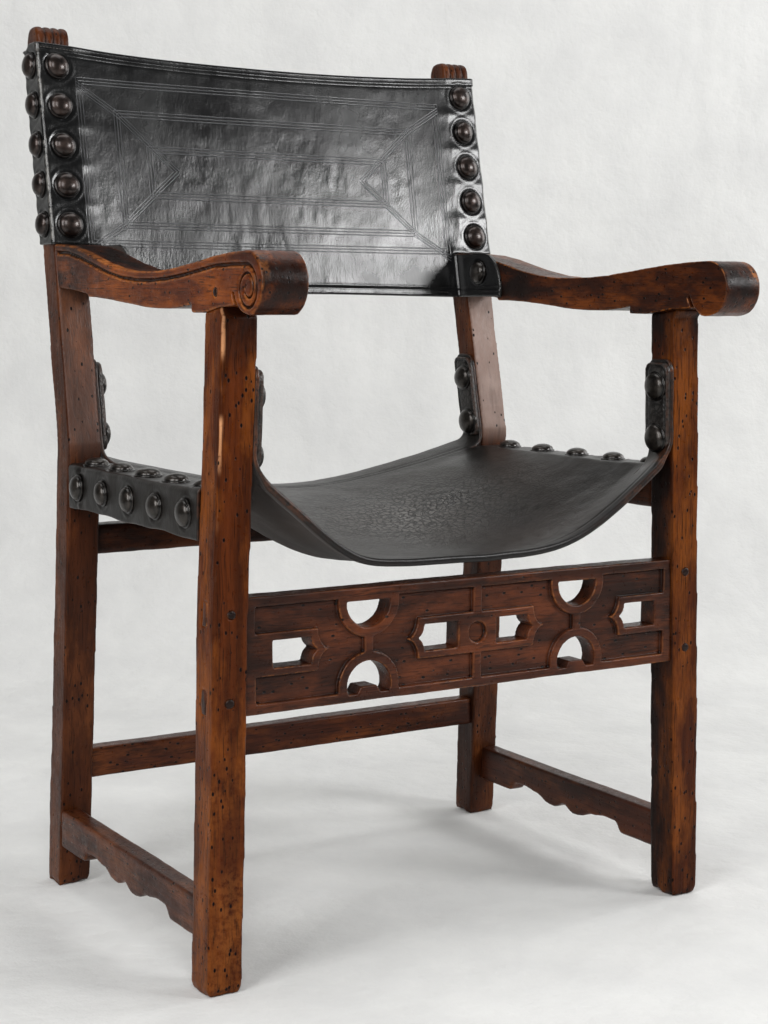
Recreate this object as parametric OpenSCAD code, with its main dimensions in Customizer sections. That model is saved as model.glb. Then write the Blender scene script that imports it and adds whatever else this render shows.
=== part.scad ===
// Leather armchair of the old Spanish pattern: a pegged walnut frame with a
// raked back, scrolled arms and a pierced front stretcher. A thick leather
// sling hangs between the seat rails, a second hide is stretched across the
// back, and both are held by large domed nails.
//
// Millimetres. The chair stands on z = 0 and faces -Y, and the origin lies
// under the middle of its outline. Left and right are as seen by someone who
// faces the chair. Inside the modules, y is counted back from the front face
// of the front legs.

/* [Overall] */
// Height to the tops of the carved post heads
total_h = 1004; // [940:1:1060]
// Width over the outer faces of the front feet
foot_w = 640; // [600:1:690]
// How much narrower the chair is over its rear feet
rear_taper = 11; // [0:1:20]
// Depth on the floor, from the front legs' front to the rear posts' back
foot_depth = 442; // [410:1:480]

/* [Front legs] */
// Width of a front leg
front_leg_w = 37; // [34:0.5:42]
// Depth of a front leg
front_leg_d = 39; // [36:0.5:44]
// How far a front leg leans inward per millimetre of height
front_splay = 0.029; // [0.02:0.001:0.034]
// Height of the front leg's shoulder at its front face
leg_top_z = 684.5; // [665:0.5:700]
// How far that shoulder drops towards the back of the leg
leg_top_drop = 5.5; // [0:0.5:8]

/* [Rear posts] */
// Width of a rear post
post_w = 38; // [35:0.5:42]
// Depth of a rear post
post_d = 37; // [34:0.5:42]
// How far a rear post leans inward per millimetre of height
rear_splay = 0.016; // [0.01:0.001:0.022]
// How far the post comes forward per millimetre, below the bend
post_lean = 0.058; // [0.03:0.002:0.07]
// Height of the bend, just above the seat
bend_z = 526; // [515:1:560]
// How far the post rakes back per millimetre, above the bend
back_rake = 0.189; // [0.14:0.001:0.23]
// Height of the carved head on each post
head_h = 31; // [26:1:40]
// Lobes across the carved head
head_lobes = 4; // [3:1:5]

/* [Arms] */
// Width of an arm
arm_w = 48.5; // [44:0.5:54]
// How far an arm stands out from the front leg
arm_overhang = 2.2; // [1:0.1:4]
// Height of the arm over its scroll
scroll_top_z = 736.5; // [725:0.5:748]
// Radius of the scroll
scroll_r = 29.5; // [26:0.5:32]
// How far the scroll reaches in front of the leg
arm_nose = 89; // [80:0.5:110]
// Height of the top at its lowest, in the dip
arm_dip_z = 719.5; // [712:0.5:724]
// Place of the dip behind the leg's front face
arm_dip_y = 165; // [140:1:185]
// Height of the top where it meets the post
arm_rear_z = 753; // [745:0.5:762]
// Height of the underside below the dip
arm_under_z = 682.5; // [675:0.5:690]
// Height of the underside where it meets the post
arm_under_rear_z = 704; // [695:0.5:712]
// Width of the notch between the scroll and the arm
scroll_notch_w = 5.5; // [4:0.5:7]
// Depth of the line cut into the arm's outer face
moulding_depth = 3; // [1.5:0.1:4]
// Width of that line
moulding_w = 4.5; // [3:0.5:6]
// Width of the bead that it leaves along the top edge
bead_w = 6.5; // [5:0.5:9]
// How much wider the bead is over the scroll
bead_swell = 3.5; // [0:0.5:5]

/* [Front stretcher] */
// Height of its lower edge
fret_z0 = 282; // [260:1:300]
// Height of the board
fret_h = 117.3; // [112:0.1:124]
// Thickness of the board
fret_t = 24; // [22:0.5:28]
// Setback from the legs' front face
fret_setback = 4; // [1:0.5:8]
// Height of the raised ribs over the sunk ground
rib_h = 5; // [3:0.5:6]
// Width of the ribs that frame the board
frame_rib_w = 9; // [7:0.5:11]
// Distance of the pierced rings from the middle
ring_x = 134; // [128:1:140]
// Height of the ring centres above and below the middle line
ring_dz = 43.5; // [41:0.5:46]
// Outer radius of a ring
ring_r = 35.5; // [33:0.5:37]
// Radius of the hole in a ring
ring_hole_r = 26.5; // [24:0.5:28]
// Radius of the round boss in the middle
boss_r = 18.5; // [16:0.5:20]
// Radius of the dish sunk into the boss
dish_r = 12; // [9:0.5:13]
// Half height of the slots
slot_half_h = 14.5; // [12:0.5:16]
// Width of the ribs round the slots
slot_rib_w = 7; // [4:0.5:8]
// How far the carver's middle lies to the right of the true one
fret_shift = 3.5; // [0:0.5:5]

/* [Rails and stretchers] */
// Height of the seat rails' lower edge
rail_z0 = 457; // [450:1:462]
// Height of a seat rail
rail_h = 43.5; // [38:0.5:46]
// Thickness of a seat rail
rail_t = 33; // [29:0.5:34]
// Setback of the seat rails from the outer faces of the front legs
rail_setback = 2.5; // [1:0.5:5]
// Height of the rear seat rail's lower edge
rear_rail_z0 = 397; // [380:1:410]
// Height of the rear seat rail
rear_rail_h = 33; // [28:1:38]
// Height of the rear stretcher's lower edge
rear_str_z0 = 127; // [115:1:150]
// Height of the rear stretcher
rear_str_h = 34.5; // [30:0.5:42]
// Thickness of the rear rail and the rear stretcher
rear_bar_t = 24; // [20:0.5:28]
// Height of the side stretchers' lower edge
side_str_z0 = 49; // [44:1:60]
// Height of the side stretchers
side_str_h = 43; // [40:0.5:50]
// Thickness of the side stretchers
side_str_t = 22; // [18:0.5:24]
// Depth of the scalloped cut under the side stretchers
scallop_h = 13; // [8:0.5:15]

/* [Joinery] */
// Thickness of the tenons
tenon_t = 9; // [8:0.5:11]
// Length of the blind tenons
tenon_len = 22; // [16:0.5:24]
// Shoulder above and below a tenon
tenon_shoulder = 5; // [3:0.5:6]
// Height of each through tenon of the front stretcher
through_tenon_h = 24; // [20:0.5:28]
// Radius of the pegs
peg_r = 4.5; // [3.5:0.25:5]
// How far a peg stands out of the wood
peg_proud = 0.6; // [0.2:0.1:1]
// Clearance round tenons, pegs and nails
fit_gap = 0.1; // [0.05:0.01:0.2]

/* [Seat leather] */
// Thickness of the leather on the rails and on the back
hide_t = 4.5; // [3.5:0.5:6]
// Thickness of the sling
sling_t = 5; // [4:0.5:6]
// Thickness of the sling's doubled front hem
hem_t = 8; // [6:0.5:9]
// Height of the sling's floor at the front edge
sling_front_z = 422; // [416:0.5:440]
// Height of the sling's floor at the rear edge
sling_rear_z = 465; // [450:0.5:475]
// How much deeper the sling hangs behind its front hem
belly = 8; // [0:0.5:14]
// How far the sling climbs over the rails at the front legs
front_climb = 22; // [14:1:28]
// How far the sling climbs over the rails at the rear posts
rear_climb = 9; // [6:1:14]
// Height of the front ears' tops
front_ear_z = 627; // [612:1:640]
// Height of the rear ears' tops
rear_ear_z = 622; // [606:1:635]
// Thickness of an ear's second layer
ear_pad_t = 5.5; // [4:0.5:7]
// Corner radius of the ears
ear_r = 10; // [7:0.5:15]

/* [Back leather] */
// Height of the back's top edge at the posts
back_top_z = 984; // [978:0.5:986]
// How far the top edge dips between the posts
back_top_dip = 9; // [4:0.5:14]
// Height of the back's lower edge
back_bottom_z = 697; // [685:0.5:704]
// How far the lower edge is drawn up in the middle
back_bottom_rise = 5; // [2:0.5:8]
// Length of the flaps on the arms' inner faces, at the bottom
flap_len = 94; // [80:1:105]
// How much shorter a flap is at its top
flap_cut = 36; // [28:1:44]

/* [Nails] */
// Radius of a nail's head
nail_r = 15; // [12:0.5:16]
// Height of a nail's head
nail_h = 8.5; // [7:0.5:11]
// Radius of a nail's shank
shank_r = 1.6; // [1.2:0.1:2]
// Length of a shank below the leather's face
shank_len = 20; // [16:0.5:22]
// Nails in each row on the back
back_nail_count = 5; // [4:1:6]
// Nails on the outer face of each seat rail
rail_side_count = 5; // [4:1:6]
// Nails on the top of the left seat rail
rail_top_count_left = 5; // [4:1:6]
// Nails on the top of the right seat rail
rail_top_count_right = 5; // [4:1:6]

/* [Hidden] */
$fn = 48;
over = 1;                       // how far a cutter passes the face it cuts
wood = "saddlebrown";
pale_wood = "peru";
hide = [0.13, 0.12, 0.12];
iron = [0.25, 0.2, 0.17];
LEFT = -1;
RIGHT = 1;

// Faces of the legs and posts at a height
function leg_out(z) = foot_w / 2 - front_splay * z;
function leg_in(z) = leg_out(z) - front_leg_w;
function post_out(z) = (foot_w - rear_taper) / 2 - rear_splay * z;
function post_in(z) = post_out(z) - post_w;
function post_front(z) = foot_depth - post_d - post_lean * min(z, bend_z) + back_rake * max(0, z - bend_z);
function post_back(z) = post_front(z) + post_d;
leg_tilt = atan(front_splay);
post_tilt = atan(rear_splay);
rake_tilt = atan(back_rake);

// Places that several pieces share
leg_back = front_leg_d;
leg_mid_y = front_leg_d / 2;
head_z0 = total_h - head_h;
origin_y = (arm_nose - post_back(head_z0)) / 2;
arm_out = leg_out(leg_top_z) + arm_overhang;
arm_in = arm_out - arm_w;
scroll_y = scroll_r - arm_nose;
scroll_z = scroll_top_z - scroll_r;
fret_z1 = fret_z0 + fret_h;
fret_mid_z = fret_z0 + fret_h / 2;
fret_back = fret_setback + fret_t;
rail_z1 = rail_z0 + rail_h;
rail_mid_z = rail_z0 + rail_h / 2;
rail_out = leg_out(rail_mid_z) - rail_setback;
rail_in = rail_out - rail_t;
rail_mid_x = rail_out - rail_t / 2;
hide_top_z = rail_z1 + hide_t;
hide_out = rail_out + hide_t;
back_wrap_z0 = arm_rear_z + 1.5;

// Moves a piece from the legs' own coordinates to the chair's origin
module placed() {
    translate([0, origin_y, 0])
        children();
}

// Turns a piece drawn for the right side into the one for a side
module on_side(side) {
    if (side == RIGHT) children();
    else mirror([1, 0, 0]) children();
}

// A front outline (x, z) carried from y0 to y1
module along_y(y0, y1) {
    translate([0, y1, 0])
        rotate([90, 0, 0])
            linear_extrude(y1 - y0)
                children();
}

// A side outline (y, z) carried from x0 to x1
module along_x(x0, x1) {
    translate([x0, 0, 0])
        rotate([90, 0, 90])
            linear_extrude(x1 - x0)
                children();
}

// A box from its low corner to its high corner
module block(low, high) {
    translate(low)
        cube(high - low);
}

// Front legs

// Outline of the right front leg from the front, between two heights
module leg_front_outline(z0, z1) {
    polygon([[leg_in(z0), z0], [leg_out(z0), z0], [leg_out(z1), z1], [leg_in(z1), z1]]);
}

leg_tenon_z1 = arm_dip_z - 6;
leg_tenon_x0 = leg_in(leg_top_z) + front_leg_w / 2 - tenon_t / 2;
leg_tenon_y0 = 4;
leg_tenon_y1 = front_leg_d - 7;
arm_peg_y = 9.5;
arm_peg_z = leg_top_z + 14;

// The tenon on top of the leg, widened by a gap for its mortise
module leg_tenon(gap) {
    block([leg_tenon_x0 - gap, leg_tenon_y0 - gap, leg_top_z - leg_top_drop - over],
          [leg_tenon_x0 + tenon_t + gap, leg_tenon_y1 + gap, leg_tenon_z1 + gap]);
}

module front_leg(side) {
    color(wood) placed() on_side(side) difference() {
        union() {
            intersection() {
                along_y(0, front_leg_d) leg_front_outline(0, leg_top_z);
                along_x(0, foot_w) polygon([[0, 0], [front_leg_d, 0],
                                            [front_leg_d, leg_top_z - leg_top_drop], [0, leg_top_z]]);
            }
            leg_tenon(0);
        }
        fret_tenons(fit_gap);
        stretcher_pegs_at(fit_gap);
        seat_rail_tenons(fit_gap);
        side_stretcher_tenons(fit_gap);
        arm_peg_at(fit_gap);
        front_ear_holes();
    }
}

// Rear posts

// Side outline of a rear post up to its carved head
module post_side_outline() {
    polygon([[post_front(0), 0], [post_back(0), 0], [post_back(bend_z), bend_z],
             [post_back(head_z0), head_z0], [post_front(head_z0), head_z0], [post_front(bend_z), bend_z]]);
}

lobe_pitch = post_w / head_lobes;
lobe_r = lobe_pitch * 0.515;
head_power = 2.8;               // squareness of the head from the side

// Middle of a lobe across the right head
function lobe_x(i) = post_in(head_z0) + lobe_pitch * (i + 0.5);

// One point of the head's side outline
function head_point(a) = [
    post_front(head_z0) + post_d / 2 * (1 - sign(cos(a)) * pow(abs(cos(a)), 2 / head_power)),
    head_z0 + head_h * pow(sin(a), 2 / head_power)];

// The carved head: lobes run up its front, over its top and down its back
module post_head() {
    intersection() {
        along_x(0, foot_w) polygon([for (i = [0:16]) head_point(i * 180 / 16)]);
        along_y(post_front(head_z0) - over, post_back(head_z0) + over) union() {
            for (i = [0:head_lobes - 1])
                translate([lobe_x(i), total_h - lobe_r]) circle(lobe_r);
            translate([lobe_x(0) - lobe_pitch / 2, head_z0])
                square([post_w, head_h - lobe_r]);
        }
        translate([0, 0, head_z0]) linear_extrude(head_h + over) union() {
            for (i = [0:head_lobes - 1]) {
                translate([lobe_x(i), post_front(head_z0) + lobe_r]) circle(lobe_r);
                translate([lobe_x(i), post_back(head_z0) - lobe_r]) circle(lobe_r);
            }
            translate([post_in(head_z0), post_front(head_z0) + lobe_r / 2])
                square([post_w, post_d - lobe_r]);
        }
    }
}

module rear_post(side) {
    color(wood) placed() on_side(side) difference() {
        union() {
            intersection() {
                along_y(0, post_back(head_z0) + over)
                    polygon([[post_in(0), 0], [post_out(0), 0],
                             [post_out(head_z0), head_z0], [post_in(head_z0), head_z0]]);
                along_x(0, foot_w) post_side_outline();
            }
            post_head();
        }
        arm_tenon(fit_gap);
        seat_rail_tenons(fit_gap);
        side_stretcher_tenons(fit_gap);
        rear_bar_tenon(rear_rail_z0, rear_rail_h, fit_gap);
        rear_bar_tenon(rear_str_z0, rear_str_h, fit_gap);
        back_front_holes();
        back_side_holes();
        rear_ear_holes();
    }
}

// Arms

arm_rise_y = post_front(arm_rear_z) - 10;
arm_rise_power = 1.25;          // above 1, the arm stays low for longer before it rises to the post
arm_step_y = front_leg_d + 26;  // heel behind the leg, where the underside steps down
arm_under_y = arm_dip_y - 40;
arm_cusp_y = post_front(arm_under_rear_z) - 85;
arm_cusp_z = arm_under_z + (arm_under_rear_z - arm_under_z) * 0.53;
arm_cusp_h = 3;                 // how far the underside steps up at the cusp
arm_steps = 14;                 // points along each sweep of the arm

// A soft wave from 0 at a to 1 at b
function wave(a, b, v) = (1 - cos(180 * max(0, min(1, (v - a) / (b - a))))) / 2;

// Height of the arm's top at y
function arm_top(y) = y < arm_dip_y
    ? arm_dip_z + (scroll_top_z - arm_dip_z) * (1 - wave(scroll_y, arm_dip_y, y))
    : arm_dip_z + (arm_rear_z - arm_dip_z)
        * wave(0, 1, pow(min(1, (y - arm_dip_y) / (arm_rise_y - arm_dip_y)), arm_rise_power));

// Height of the arm's underside at y, from the heel back to the cusp
function arm_under(y) = y < arm_under_y
    ? arm_under_z + 5 * pow((arm_under_y - y) / (arm_under_y - arm_step_y), 2)
    : arm_under_z + (arm_cusp_z - arm_under_z) * wave(arm_under_y, arm_cusp_y, y);

// Value i of n equal steps from a to b
function step(a, b, i, n) = a + (b - a) * i / n;

heel_slope = leg_top_drop / front_leg_d;

// Side outline of the arm behind its scroll
module arm_body_outline() {
    polygon(concat(
        [for (i = [0:arm_steps]) let (y = step(scroll_y, arm_rise_y, i, arm_steps)) [y, arm_top(y)]],
        [[post_front(arm_rear_z), arm_rear_z], [post_front(arm_under_rear_z), arm_under_rear_z],
         [(post_front(arm_under_rear_z) + arm_cusp_y) / 2, (arm_cusp_z + arm_cusp_h + arm_under_rear_z) / 2 + 1],
         [arm_cusp_y + 1.5, arm_cusp_z + arm_cusp_h]],
        [for (i = [0:arm_steps])
            let (y = step(arm_cusp_y, arm_step_y, i, arm_steps)) [y, arm_under(y)]],
        [[arm_step_y, leg_top_z - leg_top_drop], [front_leg_d, leg_top_z - leg_top_drop],
         [0, leg_top_z], [scroll_y + scroll_r / 2, leg_top_z + 2], [scroll_y, scroll_z]]));
}

// The gap under the scroll, a curved notch behind its lower half
module scroll_notch_outline() {
    intersection() {
        difference() {
            circle(scroll_r + scroll_notch_w);
            circle(scroll_r);
        }
        polygon([[0, 0], [scroll_r * 2, -scroll_r * 0.52], [scroll_r * 2, -scroll_r * 2],
                 [0, -scroll_r * 2]]);
    }
}

volute_turn = 720;              // degrees that the volute winds through
volute_steps = 30;
volute_drop = 5;                // how far the volute's eye lies below the scroll's middle

// Distance of the cut line's edges below the arm's top at y
function bead_at(y) = bead_w + bead_swell * (1 - wave(scroll_y, scroll_y + 90, y));

// Radius of the cut line in the volute at a share s of its turn
volute_r0 = scroll_r + volute_drop - bead_w - bead_swell - moulding_w / 2;
volute_keys = [[0, 1], [0.125, 0.8], [0.25, 0.83], [0.375, 0.77], [0.5, 0.64], [0.625, 0.5], [0.75, 0.4],
               [0.875, 0.28], [1, 0.13]];
function volute_r(s) = volute_r0 * lookup(s, volute_keys);

// One point of the cut line's edge, d to the outside of its middle
function volute_point(s, d) =
    let (a = 90 + volute_turn * s, r = volute_r(s) + d * (1 - 0.5 * s))
    [scroll_y + r * cos(a), scroll_z - volute_drop + r * sin(a)];

// The line cut below the bead: along the top edge, then round the volute
module moulding_outline() {
    half = moulding_w / 2;
    rear = post_front(arm_rear_z) + post_d;
    polygon(concat(
        [for (i = [0:arm_steps]) let (y = step(rear, scroll_y, i, arm_steps)) [y, arm_top(y) - bead_at(y)]],
        [for (i = [1:volute_steps]) volute_point(i / volute_steps, half)],
        [for (i = [volute_steps:-1:1]) volute_point(i / volute_steps, -half)],
        [for (i = [arm_steps:-1:0]) let (y = step(rear, scroll_y, i, arm_steps))
            [y, arm_top(y) - bead_at(y) - moulding_w]]));
}

arm_tenon_z0 = arm_under_rear_z + 9;
arm_tenon_z1 = arm_rear_z - 10;

// The tenon at the arm's rear end, in the post
module arm_tenon(gap) {
    x0 = post_in(arm_rear_z) + post_w / 2 - tenon_t / 2;
    along_x(x0 - gap, x0 + tenon_t + gap)
        polygon([[post_front(arm_tenon_z0 - gap) - over, arm_tenon_z0 - gap],
                 [post_front(arm_tenon_z0 - gap) + tenon_len + gap, arm_tenon_z0 - gap],
                 [post_front(arm_tenon_z1 + gap) + tenon_len + gap, arm_tenon_z1 + gap],
                 [post_front(arm_tenon_z1 + gap) - over, arm_tenon_z1 + gap]]);
}

// The peg that locks the leg's tenon in the arm, driven from outside
module arm_peg_at(gap) {
    x0 = leg_tenon_x0 - 5;
    translate([x0 - gap, arm_peg_y, arm_peg_z])
        rotate([0, 90, 0])
            cylinder(r = peg_r + gap, h = arm_out + peg_proud + gap - x0);
}

module arm(side) {
    color(pale_wood) placed() on_side(side) difference() {
        union() {
            along_x(arm_in, arm_out) difference() {
                union() {
                    arm_body_outline();
                    translate([scroll_y, scroll_z]) circle(scroll_r);
                }
                translate([scroll_y, scroll_z]) scroll_notch_outline();
            }
            arm_tenon(0);
        }
        along_x(arm_out - moulding_depth, arm_out + over) moulding_outline();
        leg_tenon(fit_gap);
        arm_peg_at(fit_gap);
        flap_hole();
    }
}

// Pegs

module arm_pegs() {
    color(wood) placed() for (side = [LEFT, RIGHT]) on_side(side) arm_peg_at(0);
}

stretcher_peg_len = tenon_len + 8;

// The two pegs through a leg and the front stretcher's tenons
module stretcher_pegs_at(gap) {
    for (z = [fret_tenon_mid(0), fret_tenon_mid(1)])
        translate([leg_in(z) + front_leg_w / 2, stretcher_peg_len + gap, z])
            rotate([90, 0, 0])
                cylinder(r = peg_r + gap, h = stretcher_peg_len + peg_proud + gap + gap);
}

module front_stretcher_pegs() {
    color(wood) placed() for (side = [LEFT, RIGHT]) on_side(side) stretcher_pegs_at(0);
}

// Front stretcher

fret_tenon_y0 = leg_mid_y - 4;

// Lower edge of the lower (0) or upper (1) through tenon
function fret_tenon_z(i) = i == 0 ? fret_z0 + tenon_shoulder / 2 : fret_z1 - tenon_shoulder / 2 - through_tenon_h;
function fret_tenon_mid(i) = fret_tenon_z(i) + through_tenon_h / 2;

// Through tenons on the right end, flush with the leg's outer face
module fret_tenons(gap) {
    for (i = [0, 1])
        let (z0 = fret_tenon_z(i) - gap, z1 = z0 + through_tenon_h + 2 * gap, out = gap > 0 ? over : 0)
            along_y(fret_tenon_y0 - gap, fret_tenon_y0 + tenon_t + gap)
                polygon([[leg_in(z0) - over, z0], [leg_out(z0) + out, z0],
                         [leg_out(z1) + out, z1], [leg_in(z1) - over, z1]]);
}

// Outline of the board between the splayed legs
module fret_board_outline() {
    polygon([[-leg_in(fret_z0), fret_z0], [leg_in(fret_z0), fret_z0],
             [leg_in(fret_z1), fret_z1], [-leg_in(fret_z1), fret_z1]]);
}

end_slot_reach = 112;           // outer end of an end slot, from the ring's middle
slot_shoulder = 67;             // where a slot starts to narrow, from the ring's middle
slot_tip = 57;                  // its pointed end
slot_end_x = ring_x + end_slot_reach;
slot_shoulder_x = ring_x + slot_shoulder;
slot_tip_x = ring_x + slot_tip;
mid_slot_x0 = boss_r + 5.5;     // inner end of the middle slots
mid_shoulder_x = ring_x - slot_shoulder;
mid_tip_x = ring_x - slot_tip;
ogee_steps = 5;

// Curve from the shoulder (0, h) to the tip (w, 0), hollow like an ogee's end
function ogee(w, h) = [for (i = [0:ogee_steps]) let (a = 90 * i / ogee_steps) [w * (1 - cos(a)), h * (1 - sin(a))]];

// Slot outline from x0 to a shoulder at x1, with a pointed end at x2
module pointed_slot(x0, x1, x2, h) {
    tip = ogee(x2 - x1, h);
    polygon(concat(
        [[x0, h]],
        [for (p = tip) [x1 + p[0], p[1]]],
        [for (i = [ogee_steps - 1:-1:0]) [x1 + tip[i][0], -tip[i][1]]],
        [[x0, -h]]));
}

// Pierced parts of the right half, round the board's middle
module fret_holes_outline() {
    translate([0, fret_mid_z]) {
        pointed_slot(slot_end_x, slot_shoulder_x, slot_tip_x, slot_half_h);
        pointed_slot(mid_slot_x0, mid_shoulder_x, mid_tip_x, slot_half_h);
        intersection() {
            for (s = [-1, 1]) translate([ring_x, s * ring_dz]) circle(ring_hole_r);
            difference() {
                translate([ring_x - ring_r, ring_cut_low])
                    square([2 * ring_r, ring_cut_high - ring_cut_low]);
                ring_foot_outline();
            }
        }
    }
}

ring_cut_low = -fret_h / 2 + frame_rib_w * 0.8;
ring_cut_high = fret_h / 2 - frame_rib_w * 1.4;
foot_half_w = 13;
foot_top_half_w = 9;
foot_h = 7;

// The small foot that stands in the lower ring, on the bottom rib
module ring_foot_outline() {
    z0 = ring_cut_low;
    polygon([[ring_x - foot_half_w, z0 - over], [ring_x - foot_half_w, z0], [ring_x - foot_top_half_w, z0 + foot_h],
             [ring_x + foot_top_half_w, z0 + foot_h], [ring_x + foot_half_w, z0], [ring_x + foot_half_w, z0 - over]]);
}

// The raised frame round the board
module fret_frame_outline() {
    stile_x = leg_in(fret_z1) - frame_rib_w;
    for (z = [fret_z0, fret_z1 - frame_rib_w])
        translate([-foot_w / 2, z]) square([foot_w, frame_rib_w]);
    for (x = [-foot_w / 2, stile_x])
        translate([x, fret_z0]) square([foot_w / 2 - stile_x, fret_h]);
}

// Raised ribs of the ornament's right half, round its middle
module fret_ribs_outline() {
    rib_half = frame_rib_w / 2;
    translate([0, fret_mid_z]) {
        translate([0, -fret_h / 2]) square([rib_half, fret_h]);
        translate([ring_x - rib_half, -ring_dz]) square([2 * rib_half, 2 * ring_dz]);
        for (s = [-1, 1]) translate([ring_x, s * ring_dz]) circle(ring_r);
        circle(boss_r);
        pointed_slot(leg_in(fret_z1), slot_shoulder_x - slot_rib_w, slot_tip_x - slot_rib_w * 1.6,
                     slot_half_h + slot_rib_w);
        pointed_slot(0, mid_shoulder_x + slot_rib_w, mid_tip_x + slot_rib_w * 1.6, slot_half_h + slot_rib_w);
    }
}

// Both halves of the ornament, about the middle that the carver took
module fret_halves() {
    translate([fret_shift, 0]) {
        children();
        mirror([1, 0]) children();
    }
}

module front_stretcher() {
    color(wood) placed() difference() {
        union() {
            along_y(fret_setback + rib_h, fret_back) fret_board_outline();
            along_y(fret_setback, fret_setback + rib_h) intersection() {
                fret_board_outline();
                union() {
                    fret_frame_outline();
                    fret_halves() fret_ribs_outline();
                }
            }
            for (side = [LEFT, RIGHT]) on_side(side) fret_tenons(0);
        }
        along_y(fret_setback - over, fret_back + over) fret_halves() fret_holes_outline();
        translate([fret_shift, fret_setback + rib_h - 0.5, fret_mid_z])
            rotate([90, 0, 0])
                cylinder(r = dish_r, h = rib_h + over);
        for (side = [LEFT, RIGHT]) on_side(side) stretcher_pegs_at(fit_gap);
    }
}

// Rear rail and rear stretcher

// Front face of a bar set in the middle of the rear posts
function rear_bar_y(z) = post_front(z) + (post_d - rear_bar_t) / 2;

// Tenon on the right end of a rear bar
module rear_bar_tenon(z0, h, gap) {
    mid = z0 + h / 2;
    y0 = rear_bar_y(mid) + (rear_bar_t - tenon_t) / 2;
    block([post_in(z0) - 2 * over, y0 - gap, z0 + tenon_shoulder - gap],
          [post_in(mid) + tenon_len + gap, y0 + tenon_t + gap, z0 + h - tenon_shoulder + gap]);
}

module rear_bar(z0, h) {
    z1 = z0 + h;
    y0 = rear_bar_y(z0 + h / 2);
    along_y(y0, y0 + rear_bar_t)
        polygon([[-post_in(z0), z0], [post_in(z0), z0], [post_in(z1), z1], [-post_in(z1), z1]]);
    for (side = [LEFT, RIGHT]) on_side(side) rear_bar_tenon(z0, h, 0);
}

module rear_stretcher() {
    color(wood) placed() rear_bar(rear_str_z0, rear_str_h);
}

module rear_seat_rail() {
    color(wood) placed() rear_bar(rear_rail_z0, rear_rail_h);
}

// Side rails and stretchers

// A pair of blind tenons at the ends of a side member
module side_tenons(x, z0, z1, gap) {
    block([x - gap, leg_back - tenon_len - gap, z0 - gap], [x + tenon_t + gap, leg_back + over, z1 + gap]);
    block([x - gap, post_front(z0) - 2 * over, z0 - gap],
          [x + tenon_t + gap, post_front(z1) + tenon_len + gap, z1 + gap]);
}

module seat_rail_tenons(gap) {
    side_tenons(rail_mid_x - tenon_t / 2, rail_z0 + tenon_shoulder, rail_z1 - tenon_shoulder * 2, gap);
}

side_str_out = post_out(side_str_z0 + side_str_h / 2) - 0.8;
side_str_z1 = side_str_z0 + side_str_h;

module side_stretcher_tenons(gap) {
    side_tenons(side_str_out - side_str_t / 2 - tenon_t / 2, side_str_z0 + tenon_shoulder,
                side_str_z1 - tenon_shoulder, gap);
}

module seat_rail(side) {
    color(wood) placed() on_side(side) difference() {
        union() {
            along_x(rail_in, rail_out)
                polygon([[leg_back, rail_z0], [post_front(rail_z0), rail_z0],
                         [post_front(rail_z1), rail_z1], [leg_back, rail_z1]]);
            seat_rail_tenons(0);
        }
        rail_side_holes();
        rail_top_holes(side);
    }
}

scallop_mid = (leg_back + post_front(side_str_z0)) / 2;
scallop_half = scallop_mid - leg_back - 66;

// The scallop's height at a share of its half length: a small cusp in the
// middle, a lobe, then a long hollow that ends in a step
scallop_keys = [[0, 0.66], [0.17, 0.08], [0.26, 0.1], [0.5, 0.72], [0.72, 1], [0.9, 0.94], [1, 0]];

// Smooth height between two keys
function blend(a, b, t) = a + (b - a) * (1 - cos(180 * t)) / 2;
function scallop_at(s, i = 0) = s <= scallop_keys[i + 1][0] || i == len(scallop_keys) - 2
    ? blend(scallop_keys[i][1], scallop_keys[i + 1][1],
            (s - scallop_keys[i][0]) / (scallop_keys[i + 1][0] - scallop_keys[i][0]))
    : scallop_at(s, i + 1);

scallop_steps = 30;

module side_stretcher(side) {
    color(wood) placed() on_side(side) {
        along_x(side_str_out - side_str_t, side_str_out)
            polygon(concat(
                [[leg_back, side_str_z1], [leg_back, side_str_z0]],
                [for (i = [-scallop_steps:scallop_steps])
                    let (s = i / scallop_steps)
                    [scallop_mid + s * scallop_half, side_str_z0 + scallop_h * scallop_at(abs(s))]],
                [[post_front(side_str_z0), side_str_z0], [post_front(side_str_z1), side_str_z1]]));
        side_stretcher_tenons(0);
    }
}

// Nails

// One nail along +Z: its head stands on z = 0 and its shank goes down
module nail() {
    dome = (nail_r * nail_r + nail_h * nail_h) / (2 * nail_h);
    intersection() {
        translate([0, 0, nail_h - dome]) sphere(dome);
        cylinder(r = dome + over, h = nail_h + over);
    }
    translate([0, 0, -shank_len]) cylinder(r = shank_r, h = shank_len + over);
}

// The hole for a nail's shank
module nail_hole() {
    translate([0, 0, -shank_len - fit_gap])
        cylinder(r = shank_r + fit_gap, h = shank_len + nail_h);
}

// Heights of the nails on the back, from its lowest to its highest
back_nail_margin = nail_r + 7;
function back_nail_z(i) = step(back_wrap_z0 + back_nail_margin, back_top_z - back_nail_margin - 3,
                               i, back_nail_count - 1);

// Nails on the post's front face, square to the raked leather
module at_back_front() {
    for (i = [0:back_nail_count - 1])
        let (z = back_nail_z(i))
            translate([post_in(z) + post_w / 2, post_front(z) - hide_front_t, z])
                rotate([90 - rake_tilt, 0, 0])
                    children();
}

// Nails on the post's outer face
module at_back_side() {
    for (i = [0:back_nail_count - 1])
        let (z = back_nail_z(i))
            translate([post_out(z) + hide_side_t, post_front(z) + post_d / 2, z])
                rotate([0, 90 - post_tilt, 0])
                    children();
}

module back_front_holes() {
    at_back_front() nail_hole();
}

module back_side_holes() {
    at_back_side() nail_hole();
}

module back_front_nails(side) {
    color(iron) placed() on_side(side) at_back_front() nail();
}

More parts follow.
